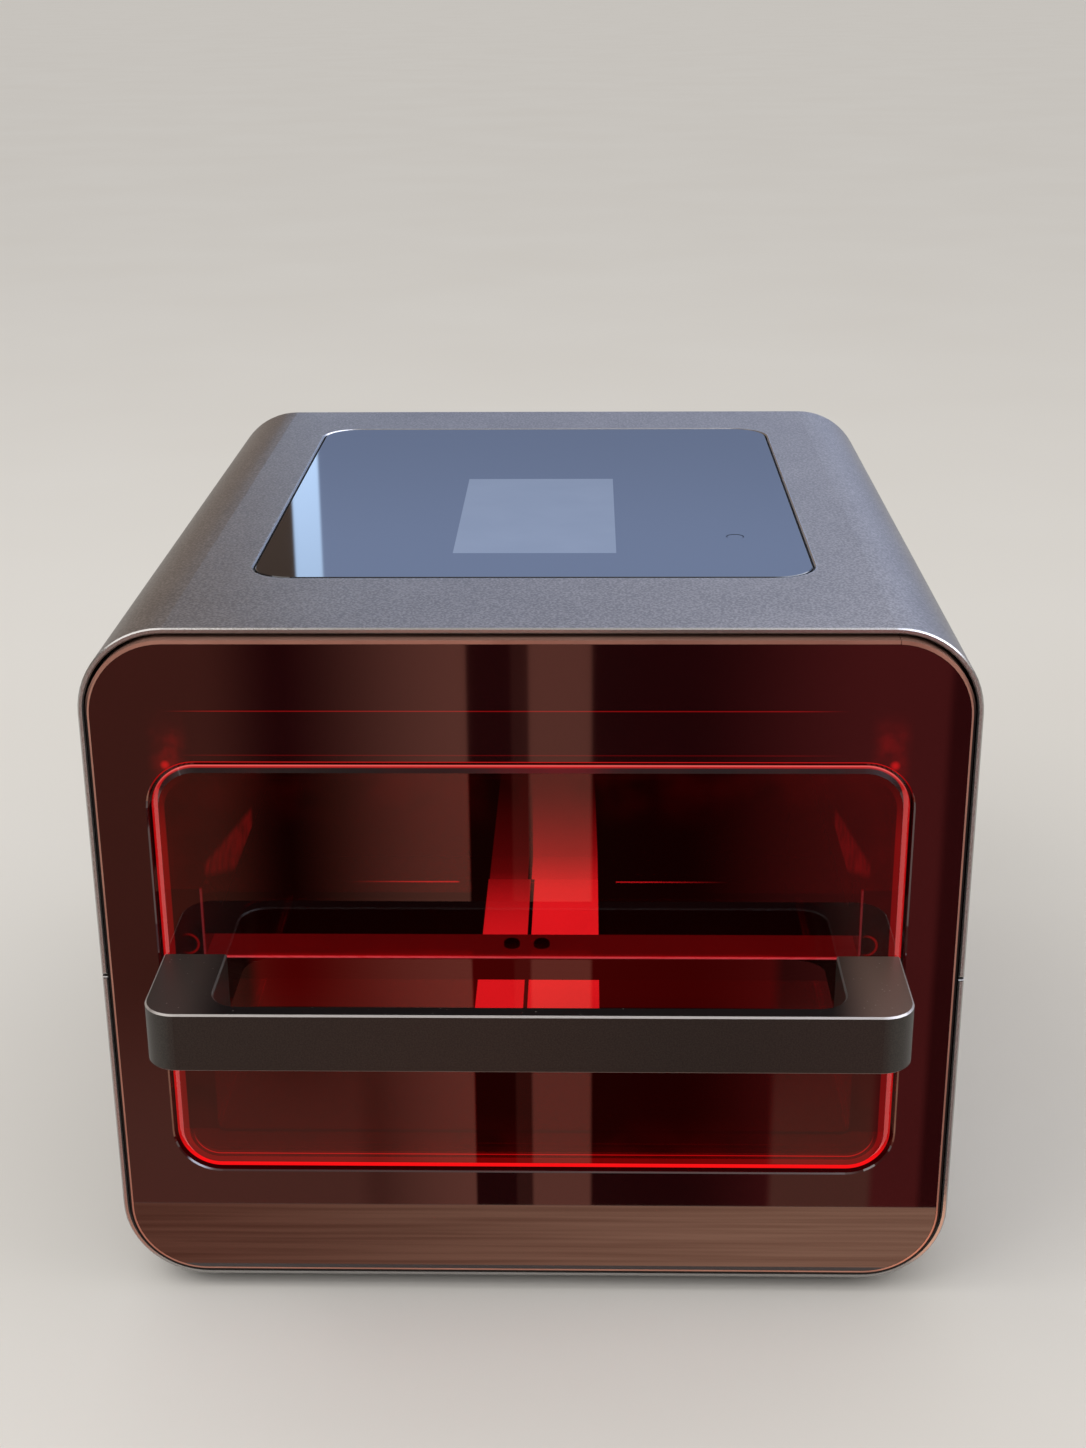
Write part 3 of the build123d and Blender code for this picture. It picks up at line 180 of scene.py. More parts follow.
class Finish:
    """A material with one shader, whose plain values are set on its own sockets."""

    def __init__(self, name, kind="ShaderNodeBsdfPrincipled", **sockets):
        self.material = bpy.data.materials.new(name)
        self.material.use_nodes = True
        self.tree = self.material.node_tree
        self.tree.nodes.clear()
        values = {socket.replace("_", " "): value for socket, value in sockets.items()}
        self.shader = add_node(self.tree, kind, values)
        self.output = add_node(self.tree, "ShaderNodeOutputMaterial", {"Surface": self.shader.outputs[0]})
        self.place = add_node(self.tree, "ShaderNodeTexCoord").outputs["Object"]

    def axes(self):
        """The place on the piece as x, y and z in millimetres."""
        return [axis / MM for axis in axes(self.tree, self.place)]

    def upward(self):
        """1 where the surface faces up, 0 where it stands and -1 where it faces down."""
        return axes(self.tree, add_node(self.tree, "ShaderNodeNewGeometry").outputs["Normal"])[2]

    def grain(self, size_mm, stretch=(1, 1, 1), detail=2.0):
        """Noise with grains of about size_mm, stretched along an axis where its scale is below 1."""
        mapping = add_node(self.tree, "ShaderNodeMapping", {"Vector": self.place, "Scale": stretch})
        inputs = {"Vector": mapping.outputs[0], "Scale": 1 / (size_mm * MM), "Detail": detail}
        return Wire(self.tree, add_node(self.tree, "ShaderNodeTexNoise", inputs).outputs[0])

    def cells(self, size_mm, feature):
        """Distances in a pattern of random cells of about size_mm."""
        inputs = {"Vector": self.place, "Scale": 1 / (size_mm * MM)}
        node = add_node(self.tree, "ShaderNodeTexVoronoi", inputs, feature=feature)
        return Wire(self.tree, node.outputs["Distance"])

    def surface(self, pattern, colours, roughness, relief_mm=0.0, height=None):
        """Colour, roughness and relief that follow one pattern."""
        self.plug("Base Color", pattern.mix(*colours))
        inputs = {"Value": pattern, "To Min": roughness[0], "To Max": roughness[1]}
        self.plug("Roughness", add_node(self.tree, "ShaderNodeMapRange", inputs).outputs[0])
        if relief_mm:
            inputs = {"Height": height or pattern, "Distance": relief_mm * MM, "Strength": 1.0}
            self.plug("Normal", add_node(self.tree, "ShaderNodeBump", inputs).outputs[0])
        return self.material

    def glow(self, share, colour=WHITE):
        """The colour's light, in that share."""
        self.plug("Emission Color", share.mix(BLACK, colour))
        return self.material

    def plug(self, socket, value):
        """Gives one of the shader's sockets a link or value."""
        plug(self.tree, self.shader.inputs[socket], value)

    def tint_shadow(self, colour):
        """Lets lamps reach through, tinted by that colour."""
        clear = add_node(self.tree, "ShaderNodeBsdfTransparent", {"Color": colour})
        inputs = {0: ray(self.tree, "Shadow"), 1: self.shader.outputs[0], 2: clear.outputs[0]}
        both = add_node(self.tree, "ShaderNodeMixShader", inputs)
        plug(self.tree, self.output.inputs["Surface"], both.outputs[0])
        return self.material


# ---------------------------------------------------------------- finishes
def plain_finish(name, colours, roughness, grain_mm, relief_mm=0.0, stretch=(1, 1, 1), **sockets):
    """A finish whose only pattern is its grain."""
    finish = Finish(name, **sockets)
    return finish.surface(finish.grain(grain_mm, stretch), colours, roughness, relief_mm)


def blasted_aluminium(colours):
    """Bead-blasted and anodised aluminium sheet: a satin skin with a fine sparkle, and bright cut edges."""
    finish = Finish("blasted_anodised_aluminium", Metallic=0.8)
    x, y, z = finish.axes()
    # glass beads leave dents of about 0.1 mm; they are drawn at 0.9 mm, as coarse as they need to show
    dents = finish.grain(0.9, detail=4.0)
    tone = dents.step(0.40, 0.64) * 0.7 + finish.grain(25.0) * 0.3
    rim = box_mm("top_shell")[0].y
    cut = y.step(rim + 0.3, rim + 0.7, 1.0, 0.0)
    # the opening for the control glass has the same bright cut edge
    low, high = box_mm("control_glass")
    opening = rim_distance(x, y, low.xy, high.xy, GLASS_CORNER)
    lip = opening.step(1.5, 1.6, 1.0, 0.0) * z.step(high.z - 1.5, high.z - 1.0)
    skin = tone.mix(colours.housing_dark_hex, colours.housing_light_hex)
    return finish.surface(cut.over(lip * 0.8), (skin, colours.rim_hex), (0.36, 0.2), 0.03, dents)


def anodised_handle(colours):
    """Black anodised aluminium with cut edges: warm near-black faces with a little dust on top, a painted
    highlight on the chamfers and painted reflections on the tops.
    """
    finish = Finish("black_anodised_aluminium", Metallic=0.4)
    x, y, _ = finish.axes()
    fine = finish.grain(0.5, detail=3.0)
    facing = finish.upward()
    top = facing.step(0.95, 0.99)
    # the chamfers carry a painted highlight: brightest on those that face up along the outer edge, fainter on the
    # others that face up and on those that face down
    low, high = box_mm("handle")
    outer = y.step(low.y + 3, low.y + 5, 1.0, 0.0).over(abs(x).step(high.x - 4, high.x - 2))
    cut = facing.band(0.5, 0.85, 0.05) * (outer * 0.42 + 0.18)
    bright = cut.over(facing.band(-0.85, -0.5, 0.05) * 0.2)
    # a few specks of dust 0.3 to 0.6 mm across lie on the flat top
    dust = finish.cells(2.0, "F1").step(0.06, 0.16, 1.0, 0.0) * finish.grain(7.0).step(0.52, 0.62) * top
    body = fine.step(0.35, 0.65).mix(colours.handle_hex, "#38322d")
    # painted reflection: the arms' tops are painted lighter, the right one lighter still, and the bar's top is
    # painted near black
    arm = x.step(0.0, 90).mix("#413833", "#6a564c")
    painted_tops = abs(x).step(98, 116).mix(top.mix(body, "#120c0b"), top.mix(body, arm))
    dust_and_painted_tops = (dust * 0.7).mix(painted_tops, "#a89c94")
    return finish.surface(bright, (dust_and_painted_tops, "#c9c2bd"), (0.42, 0.3), 0.02, fine)


def brushed_bronze(colours):
    """Rose-bronze anodised aluminium, brushed round the drawer's rim: long fine lines and a warm shine."""
    finish = Finish("bronze_anodised_aluminium", Metallic=0.55)
    x, _, z = finish.axes()
    lines = finish.grain(1.2, (0.05, 1, 0.05), detail=4.0)
    bronze = lines.mix(colours.bezel_dark_hex, colours.bezel_light_hex)
    # the outer corner stays in the gap's shade at the sides and below
    low, high = box_mm("drawer_bezel")
    depth = rim_distance(x, z, low.xz, high.xz, BEZEL_CORNER)
    shade = depth.step(-0.8, -0.6) * z.step(226, 246, 1.0, 0.0)
    return finish.surface(shade, (bronze, "#0d0908"), (0.27, 0.5), 0.01, lines)


def behind_glass(finish):
    """The painted light's share: 1 for light that leaves through the pane, and a fifth for what is seen with the
    drawer open.
    """
    return ray(finish.tree, "Transmission") * 0.8 + 0.2


def painted_reflection_bands(x, depth, rise, seam):
    """Two bands of painted reflection that run away from the front, close in where they climb, and fade with
    depth.
    """
    left = x - rise * 0.115
    right = x + rise * 0.037
    first = left.step(-25.2, -24.8) * x.step(seam - 1.0, seam - 0.7, 1.0, 0.0)
    first *= depth.step(-10, 105, 0.66, 0.0).over(depth.step(0.0, 150, 0.2, 0.0))
    second = x.step(seam + 0.7, seam + 1.0) * right.step(24.1, 24.5, 1.0, 0.0)
    # the painted bands are a little weaker at the front of the plate
    return first + second * depth.step(30, 138, 0.76, 0.0) * depth.step(-70, -20, 0.8, 1.0)


def tray_sheet():
    """The tray's polished aluminium: mirror sides, a back wall painted near black as painted shade, and bands and
    bends that glow with painted light.
    """
    finish = Finish("bent_polished_aluminium", Metallic=1.0, Emission_Strength=2.0)
    x, y, z = finish.axes()
    low, high = box_mm("drawer_pan")
    sheet = finish.grain(2.0, ROLLED, detail=3.0).mix("#86837f", "#98948f")
    # painted reflection: the bands glow on over the floor behind the plate and up the back wall
    rise = (z - 66).over(0.0)
    bands = painted_reflection_bands(x, y + rise, rise, -6.7) * y.step(60.6, 60.9) * z.step(65, 65.5)
    # painted highlights on the inner bends of the front ears
    ear = abs(x).band(113.0, 113.7, 0.2) * y.step(low.y + 1.0, low.y + 1.4, 1.0, 0.0)
    finish.glow(bands.over(ear * z.step(135, 136, 0.0, 0.07)) * behind_glass(finish))
    # painted shade: the back wall is painted near black and rough
    return finish.surface(y.step(high.y - 2.0, high.y - 1.4), (sheet, "#0e0d0d"), (0.13, 0.6))


def liner_sheet():
    """The chamber's polished lining: a dark grey mirror, darkened as painted shade, with a patch of painted light
    on either side wall.
    """
    finish = Finish("polished_lining_sheet", Metallic=1.0, Emission_Strength=1.0)
    x, y, z = finish.axes()
    # painted light: the patch starts narrow at the front and widens to the rear
    along = y + 68
    patch = (z + along * 0.21).step(134, 138, 1.0, 0.0) * (z + along * 0.42).step(130, 134)
    patch *= y.band(-62, 36, 8) * abs(x).step(126, 126.8)
    uneven = finish.grain(9.0).step(0.3, 0.7, 0.4, 1.0)
    finish.glow(patch * uneven * 0.16 * behind_glass(finish))
    rolling = finish.grain(2.0, ROLLED, detail=3.0)
    # painted shade: the lining's mirror is painted dark grey
    return finish.surface(rolling, ("#55524e", "#65625e"), (0.16, 0.26), 0.002)


def bracket_sheet():
    """Zinc-plated steel angle: soft grey, with a painted highlight that glows along the outer bend at its front.
    """
    finish = Finish("zinc_plated_angle", Metallic=0.3, Emission_Strength=1.0)
    _, y, z = finish.axes()
    low, high = box_mm("handle_bracket")
    bend = y.step(low.y + 0.5, low.y + 0.9, 1.0, 0.0) * z.step(high.z - 0.9, high.z - 0.5)
    # painted highlight: the outer bend glows, and the top edge faintly
    finish.glow((bend * 0.62).over(z.step(high.z - 0.2, high.z - 0.1) * 0.14))
    return finish.surface(finish.grain(5.0), ("#77787a", "#8c8d90"), (0.4, 0.5))


def smoked_acrylic(colours):
    """Cast acrylic, smoked dark red and back-painted: a deep gloss over near-black red."""
    finish = Finish("smoked_red_acrylic", IOR=1.52, Coat_Weight=1.0, Coat_Roughness=0.02, Emission_Strength=1.0)
    x, _, z = finish.axes()
    # painted highlights: thin lines glow where the upper edge of the frame's opening lies behind the smoke tint,
    # and fainter at a second line below it
    line = z.band(227.58, 227.68, 0.2)
    second_line = z.band(211.95, 212.05, 0.2) * 0.35
    lines = line.over(second_line) * x.band(-100, 84, 24)
    # painted light: a glow is painted past the pane's upper corners, brightest at one spot in each
    away = abs(x)
    corner_glow = away.band(119, 121, 7) * z.band(211, 214, 16) * finish.grain(6.0).step(0.35, 0.75, 0.02, 0.09)
    spot = length(away - 121.4, z - 208.5).step(0.2, 2.4, 0.45, 0.0)
    # painted highlight: a thin line glows round the window's edge, faint at the sides and below and bright along
    # the top
    edge = rim_distance(x, z, WINDOW_LOW, WINDOW_HIGH, WINDOW_CORNER).band(-0.2, 0.35, 0.15)
    shine = z.step(196, 208, 0.02, 0.5)
    finish.glow((lines * 0.26).over(corner_glow.over(spot)).over(edge * shine), colours.glow_hex)
    return finish.surface(finish.grain(40.0), (colours.fascia_hex, "#230608"), (0.03, 0.05))


def clear_red_acrylic(colours):
    """Cast acrylic in clear signal red: it passes only red light, and painted red light glows along its edges."""
    finish = Finish(
        "clear_red_acrylic", IOR=1.49, Transmission_Weight=1.0, Coat_Weight=0.6, Coat_Roughness=0.01,
        Emission_Strength=1.0,
    )
    x, y, z = finish.axes()
    depth = rim_distance(x, z, PANE_LOW, PANE_HIGH, PANE_CORNER)
    # painted shade: the bevel along the top is painted near black and rough, so it passes hardly any light
    painted_shade_bevel = depth.step(-2.7, -2.5) * z.step(196, 202)
    cast = finish.grain(30.0).mix(colours.pane_hex, "#b01014")
    finish.surface(painted_shade_bevel, (cast, "#1a0002"), (0.0, 0.3))
    # painted light: the edge glows over its full bevel below and at the sides, and over only a sliver at the top
    inside = depth - (z.step(193, 204) * 1.5 - 2.3)
    strip = inside.step(-0.3, 0.0) * depth.step(-0.2, -0.05, 1.0, 0.0)
    # the painted glow is brightest along the bottom
    strip *= z.step(54, 66) * (x.step(-120, 120, 0.44, 0.42) - 1.0) + 1.0
    # painted light too: a fainter second edge inside it, a thin line above the lower edge, and a haze towards the
    # edge
    second = depth.band(-4.4, -2.2, 0.4) * z.step(180, 206, 0.13, 0.0)
    line = depth.band(-6.1, -5.95, 0.2) * z.step(58, 68, 0.4, 0.0)
    haze = depth.step(-26, -3, 0.0, 0.014) * finish.grain(18.0).step(0.3, 0.7)
    # painted light: below the tray's ledge the pane glows as if lit from behind, more on the left, and a faint
    # glow is painted everywhere, a little stronger low down
    near = z.band(118, 138.2, 0.6) * x.band(-93, 82, 6) * x.step(-90, 80, 0.055, 0.034)
    light = strip.over(second) + line + haze + near + z.step(112, 116, 0.009, 0.003)
    # painted reflections: thin bows of light are painted for round bosses behind the pane, where the handle is
    # screwed on
    for bow_x in PAINTED_BOWS_X:
        side = x - bow_x
        light += length(side, z - PAINTED_BOWS_Z).band(3.4, 3.8, 0.4) * side.step(-2.5, 2.5, 0.0, 0.12)
    # the painted light is put on the front face only
    light *= y.sum("LESS_THAN", box_mm("window_pane")[0].y + 2.9)
    # the pane's outermost corner is cut at 45 degrees, and a pale highlight is painted on it at the top
    corner = depth.band(-0.45, -0.12, 0.12) * z.step(196, 207, 0.0, 0.6)
    finish.plug("Emission Color", corner.mix(light.mix(BLACK, colours.glow_hex), "#ff6e68"))
    return finish.tint_shadow((0.1, 0.004, 0.004, 1))


def painted_glass(colours):
    """Float glass, painted black behind, with the display's window: a flat gloss with a faint blue sheen."""
    finish = Finish("back_painted_glass", IOR=1.52, Coat_Weight=0.25, Emission_Strength=1.0)
    x, y, _ = finish.axes()
    window = x.band(-29.9, 29.9, 0.15) * y.band(-55.5, 56.8, 0.15) * finish.upward().step(0.9, 0.95)
    # an idle liquid-crystal screen: pixels 0.25 mm apart, too fine to show, are drawn as a soft cloud
    finish.glow(window, finish.grain(25.0).mix("#565d66", "#646b75"))
    return finish.surface(finish.grain(80.0), (colours.glass_hex, "#0c0d10"), (0.015, 0.03))


def clear_glass():
    """Borosilicate glass, ground flat: clear, with a trace of green and a fine surface haze."""
    finish = Finish("borosilicate_glass", IOR=1.47, Transmission_Weight=1.0)
    finish.surface(finish.grain(20.0), ("#f2f7f5", "#e6f0ec"), (0.02, 0.06))
    return finish.tint_shadow((0.9, 0.93, 0.92, 1))


def frosted_plate():
    """Borosilicate glass with two frosted bands: clear at the sides, and a pale glow of painted reflection where
    it is etched.
    """
    finish = Finish("etched_borosilicate_glass", IOR=1.47, Emission_Strength=2.0)
    x, y, z = finish.axes()
    low, high = box_mm("curing_plate")
    bands = painted_reflection_bands(x, y, 0.0, -5.1) * y.step(-82, -80)
    etched = bands.step(0.0, 0.1)
    # painted highlight: the cut rear edge glows on either side of the bands
    rear = y.step(high.y - 0.5, high.y - 0.3) * z.step(low.z + 1.2, low.z + 1.6, 1.0, 0.0)
    away = abs(x + 3)
    sides = away.step(35, 36) * away.step(44, 88, 0.5, 0.0)
    finish.glow(bands.over(rear * sides) * behind_glass(finish))
    finish.plug("Transmission Weight", 1.0 - etched)
    return finish.surface(etched, ("#f2f7f5", "#b9b9b6"), (0.03, 0.5))


def circuit_board():
    """Glass-epoxy board under green lacquer: fine copper tracks show as paler lines."""
    finish = Finish("lacquered_glass_epoxy", IOR=1.5)
    # tracks 0.3 mm wide are drawn at 1.2 mm, as coarse as they need to show
    tracks = finish.cells(8.0, "DISTANCE_TO_EDGE").step(0.04, 0.09, 1.0, 0.0)
    return finish.surface(tracks, ("#123a22", "#2f6b3f"), (0.3, 0.22), 0.03)


def ribbon_plastic():
    """Grey PVC ribbon cable: cores 1.27 mm apart show as ribs, with one red edge core."""
    finish = Finish("pvc_ribbon", IOR=1.53)
    x = finish.axes()[0]
    rib = (x * (2 * math.pi / 1.27)).sum("SINE") * 0.5 + 0.5
    grey = rib.mix("#77787a", "#a9aaac")
    return finish.surface(x.step(-10.8, -10.7, 1.0, 0.0), (grey, "#a02420"), (0.4, 0.45), 0.2, rib)


def make_finishes(colours):
    """The finish of each material slot of the record but the mirror sheet's, and of four nodes that have one of
    their own.
    """
    return {
        "housing_metal": blasted_aluminium(colours),
        # black powder coat on steel sheet: a faint orange peel in a half-matt black
        "black_metal": plain_finish("powder_coated_steel", ("#161514", "#1f1e1d"), (0.42, 0.56), 0.9, 0.03,
                                    IOR=1.5),
        "handle_metal": anodised_handle(colours),
        "bezel_metal": brushed_bronze(colours),
        "smoked_red": smoked_acrylic(colours),
        "clear_red": clear_red_acrylic(colours),
        "black_glass": painted_glass(colours),
        "clear_glass": clear_glass(),
        # moulded ABS with a fine spark-eroded texture: an even, slightly silky black
        "black_plastic": plain_finish("moulded_abs", ("#141415", "#1c1c1d"), (0.45, 0.6), 0.6, 0.02, IOR=1.53),
        # ABS moulded in a polished tool: a near-mirror black
        "gloss_black": plain_finish("polished_abs", ("#0b0b0c", "#121213"), (0.03, 0.05), 12.0, IOR=1.53,
                                    Coat_Weight=0.25),
        # PBT moulding: milky white with flow marks
        "white_plastic": plain_finish("moulded_pbt", ("#d9d6cf", "#e6e3dc"), (0.4, 0.5), 3.0, 0.01, IOR=1.55),
        # EPDM rubber, compression moulded: a dry, dusty black
        "rubber": plain_finish("moulded_epdm_rubber", ("#131313", "#20201f"), (0.75, 0.9), 1.5, 0.05, IOR=1.52),
        # closed-cell melamine foam: pale grey with open pores at the cut faces
        "foam": plain_finish("melamine_foam", ("#8b8a86", "#b9b8b4"), (0.9, 1.0), 1.2, 0.3, IOR=1.5),
        # zinc-plated, passivated steel: a soft grey shine with a clouded sheen
        "steel": plain_finish("zinc_plated_steel", ("#8f9194", "#b4b6b8"), (0.28, 0.42), 5.0, 0.01, Metallic=1.0),
        # steel blackened in a hot oxide bath: dark, oily and a little uneven
        "dark_screw": plain_finish("black_oxide_steel", ("#1b1a1a", "#2a2928"), (0.3, 0.42), 1.0, 0.01,
                                   Metallic=0.8),
        # aluminium extrusion, left as pressed: pale grey with lines along its length
        "aluminium": plain_finish("extruded_aluminium", ("#9a9c9e", "#c2c4c6"), (0.3, 0.42), 0.8, 0.02,
                                  (1, 0.03, 1), Metallic=1.0),
        "board": circuit_board(),
        # laminated steel and polymer film of a display module: grey with a slight sheen
        "display": plain_finish("laminated_display", ("#2a2d31", "#3a3e43"), (0.2, 0.3), 6.0, IOR=1.5),
        # silicone rubber mat with a fabric core: dull orange, with the weave just printed through
        "silicone_orange": plain_finish("silicone_mat", ("#a8461c", "#c0562a"), (0.6, 0.75), 1.0, 0.05, IOR=1.42),
        "ribbon": ribbon_plastic(),
        "curing_plate": frosted_plate(),
        "drawer_pan": tray_sheet(),
        "chamber_liner": liner_sheet(),
        "handle_bracket": bracket_sheet(),
    }


# ---------------------------------------------------------------- modelling helpers
def pick(*pieces):
    """Leaves object mode with only those pieces selected, and the first one active."""
    if bpy.context.object and bpy.context.object.mode != "OBJECT":
        bpy.ops.object.mode_set(mode="OBJECT")
    bpy.ops.object.select_all(action="DESELECT")
    for piece in pieces:
        piece.select_set(True)
    if pieces:
        bpy.context.view_layer.objects.active = pieces[0]


def choose(piece, mode, wanted):
    """Selects in edit mode the faces or edges for which wanted(element) is true."""
    bpy.ops.object.mode_set(mode="EDIT")
    bpy.ops.mesh.select_mode(type=mode)
    bpy.ops.mesh.select_all(action="DESELECT")
    shape = bmesh.from_edit_mesh(piece.data)
    elements = {"FACE": shape.faces, "EDGE": shape.edges}[mode]
    for element in elements:
        if wanted(element):
            element.select_set(True)
    shape.select_flush_mode()
    bmesh.update_edit_mesh(piece.data)


def settle(name, *pieces):
    """Joins pieces under one name and puts their place, turn and scale into the mesh."""
    pick(*pieces)
    if len(pieces) > 1:
        bpy.ops.object.join()
    bpy.ops.object.transform_apply(location=True, rotation=True, scale=True)
    piece = bpy.context.object
    piece.name = name
    piece.data.name = name
    return piece


def cut_away(piece, cutter):
    """Takes cutter's shape out of piece, and removes cutter."""
    pick(piece)
    modifier = piece.modifiers.new("cut", "BOOLEAN")
    modifier.operation = "DIFFERENCE"
    modifier.solver = "EXACT"
    modifier.object = cutter
    bpy.ops.object.modifier_apply(modifier=modifier.name)
    bpy.data.objects.remove(cutter)


def smooth(piece, degrees=35):
    """Smooth shading, broken at edges sharper than degrees."""
    pick(piece)
    bpy.ops.object.shade_smooth_by_angle(angle=math.radians(degrees))


def islands(node):
    """The lowest and highest corner of each separate solid in a CAD node."""
    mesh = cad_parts[node].data
    points = [tuple(round(c, 6) for c in v.co) for v in mesh.vertices]
    parent = {p: p for p in points}

    def root(p):
        while parent[p] != p:
            parent[p] = parent[parent[p]]
            p = parent[p]
        return p

    for face in mesh.polygons:
        first = root(points[face.vertices[0]])
        for i in face.vertices[1:]:
            parent[root(points[i])] = first
    groups = {}
    for p in parent:
        groups.setdefault(root(p), []).append(p)
    found = [tuple(Vector([end(c) for c in zip(*group)]) for end in (min, max)) for group in groups.values()]
    return sorted(found, key=lambda pair: tuple(pair[0]))


# the record's material slots, and the nodes that have them
SLOTS = {
    "housing_metal": "top_shell bottom_shell",
    "black_metal": "front_bulkhead rear_panel handle_bracket",
    "handle_metal": "handle",
    "bezel_metal": "drawer_bezel",
    "mirror_sheet": "chamber_liner drawer_pan",
    "smoked_red": "drawer_fascia",
    "clear_red": "window_pane",
    "black_glass": "control_glass",
    "clear_glass": "curing_plate led_window_left led_window_right led_window_floor",
    "black_plastic": "drawer_frame control_carrier pane_clamp fan_frame_left fan_frame_right fan_rotor_left "
    "fan_rotor_right mains_inlet mains_switch_housing led_frames tact_switch",
    "gloss_black": "power_button mains_switch_rocker",
    "white_plastic": "reed_switch",
    "rubber": "rubber_feet drawer_seal",
    "foam": "insulation_pad",
    "steel": "foot_screws panel_screws fan_screws handle_screws usb_port temperature_probe interlock_magnet "
    "chassis_base power_supply runner_outer_left runner_outer_right runner_middle_left runner_middle_right "
    "runner_inner_left runner_inner_right",
    "dark_screw": "bracket_screws",
    "aluminium": "heat_sink_left heat_sink_right heat_sink_floor",
    "board": "control_board main_board led_board_left led_board_right led_board_floor",
    "display": "display_module",
    "silicone_orange": "heater_mat",
    "ribbon": "ribbon_cable",
}
SLOT_OF = {node: slot for slot, nodes in SLOTS.items() for node in nodes.split()}
FINISHES = {}


def dress(nodes):
    """Gives CAD nodes their own finish, or the finish of their slot in the record."""
    for name in nodes.split():
        finish = FINISHES.get(name) or FINISHES[SLOT_OF[name]]
        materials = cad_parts[name].data.materials
        for i in range(len(materials)):
            materials[i] = finish


def take_finish(piece, slot, body, *nodes):
    """A new piece takes its slot's finish, rides on its body and stands for those nodes."""
    piece.data.materials.clear()
    piece.data.materials.append(FINISHES[slot])
    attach(piece, body)
    if nodes:
        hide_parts(*nodes)


# ---------------------------------------------------------------- settings
class CuringUnitColours(bpy.types.PropertyGroup):
    """Colours that a user would change, as sRGB hex values."""

    housing_dark_hex: StringProperty(name="Housing, dark", description="Darker grain", default="#524e4c")
    housing_light_hex: StringProperty(name="Housing, light", description="Grain", default="#8b8683")
    rim_hex: StringProperty(name="Rim", description="Bright cut rim", default="#a6a4a2")
    bezel_dark_hex: StringProperty(name="Bezel, dark", description="Brushed lines", default="#95675a")
    bezel_light_hex: StringProperty(name="Bezel, light", description="Brushed", default="#cf9f8c")
    handle_hex: StringProperty(name="Handle", description="Anodised black", default="#2b2723")
    fascia_hex: StringProperty(name="Fascia", description="Smoked acrylic", default="#1c0406")
    pane_hex: StringProperty(name="Pane", description="Clear red acrylic", default="#c8141a")
    # the colour of the painted light in the pane's edges and in the fascia's lines and glints
    glow_hex: StringProperty(name="Edge light", description="Light in the pane's edge", default="#ff1418")
    glass_hex: StringProperty(name="Control glass", description="Paint behind it", default="#07080a")


class CuringUnitStage(bpy.types.PropertyGroup):
    """Camera and light."""

    camera_place: FloatVectorProperty(
        name="Camera", description="Where the camera stands", subtype="TRANSLATION", unit="LENGTH",
        default=(0.01933, -0.77150, 0.45986),
    )
    camera_pitch: FloatProperty(name="Pitch", description="Downward look", unit="ROTATION",
                                default=math.radians(20.761))
    camera_yaw: FloatProperty(name="Yaw", description="Look to the right", unit="ROTATION",
                              default=math.radians(-1.332))
    camera_roll: FloatProperty(name="Roll", description="Turn about the view", unit="ROTATION",
                               default=math.radians(-0.413))
    focal_pixels: FloatProperty(name="Focal length", description="In pixels of the full frame", default=2024.8)
    key_power: FloatProperty(name="Key light", description="Power of the key light", unit="POWER", default=13.5)
    fill_power: FloatProperty(name="Fill light", description="Power of the fill light", unit="POWER", default=4.0)
    sky: FloatProperty(name="Sky", description="Strength of the even light", default=0.8)


# ---------------------------------------------------------------- operators: finishes on the frame's solids
class CURING_OT_finishes(bpy.types.Operator):
    """Makes every finish once"""

    bl_idname = "curing.finishes"
    bl_label = "Make the finishes"

    def execute(self, context):
        FINISHES.update(make_finishes(context.scene.curing_colours))
        return {"FINISHED"}


class CURING_OT_housing(bpy.types.Operator):
    """Blasted shells, bulkhead and back panel"""

    bl_idname = "curing.housing"
    bl_label = "Housing"

    def execute(self, context):
        dress("top_shell bottom_shell front_bulkhead rear_panel")
        return {"FINISHED"}


class CURING_OT_control_panel(bpy.types.Operator):
    """Painted glass, its button and what lies under it"""

    bl_idname = "curing.control_panel"
    bl_label = "Control panel"

    def execute(self, context):
        dress("control_glass power_button display_module control_board control_carrier tact_switch ribbon_cable")
        return {"FINISHED"}


class CURING_OT_drawer_front(bpy.types.Operator):
    """Bronze bezel, smoked fascia, red pane, frame, seal and handle"""

    bl_idname = "curing.drawer_front"
    bl_label = "Drawer front"

    def execute(self, context):
        dress("drawer_bezel drawer_fascia window_pane drawer_frame drawer_seal handle pane_clamp interlock_magnet")
        return {"FINISHED"}


class CURING_OT_chamber(bpy.types.Operator):
    """Mirror tray and chamber, glass plates, light modules and runners"""

    bl_idname = "curing.chamber"
    bl_label = "Chamber"

    def execute(self, context):
        dress("chamber_liner drawer_pan handle_bracket curing_plate led_frames heater_mat insulation_pad")
        dress("reed_switch temperature_probe")
        for place in ("left", "right", "floor"):
            dress(f"led_window_{place} led_board_{place} heat_sink_{place}")
        for side in ("left", "right"):
            dress(f"runner_outer_{side} runner_middle_{side} runner_inner_{side}")
        return {"FINISHED"}


class CURING_OT_rear_fittings(bpy.types.Operator):
    """Fans, mains inlet, switch, USB port, power supply, main board and base plate"""

    bl_idname = "curing.rear_fittings"
    bl_label = "Rear fittings"

    def execute(self, context):
        dress("mains_inlet mains_switch_housing mains_switch_rocker usb_port power_supply main_board chassis_base")
        for side in ("left", "right"):
            dress(f"fan_frame_{side} fan_rotor_{side}")
        return {"FINISHED"}


# ---------------------------------------------------------------- operators: new pieces
SCREW_SIDES = 32
# a button-head screw's measures as shares of its head radius
HEAD_HEIGHT = 1.3 / 1.9
SHANK = 1 / 1.9
SOCKET = 0.42


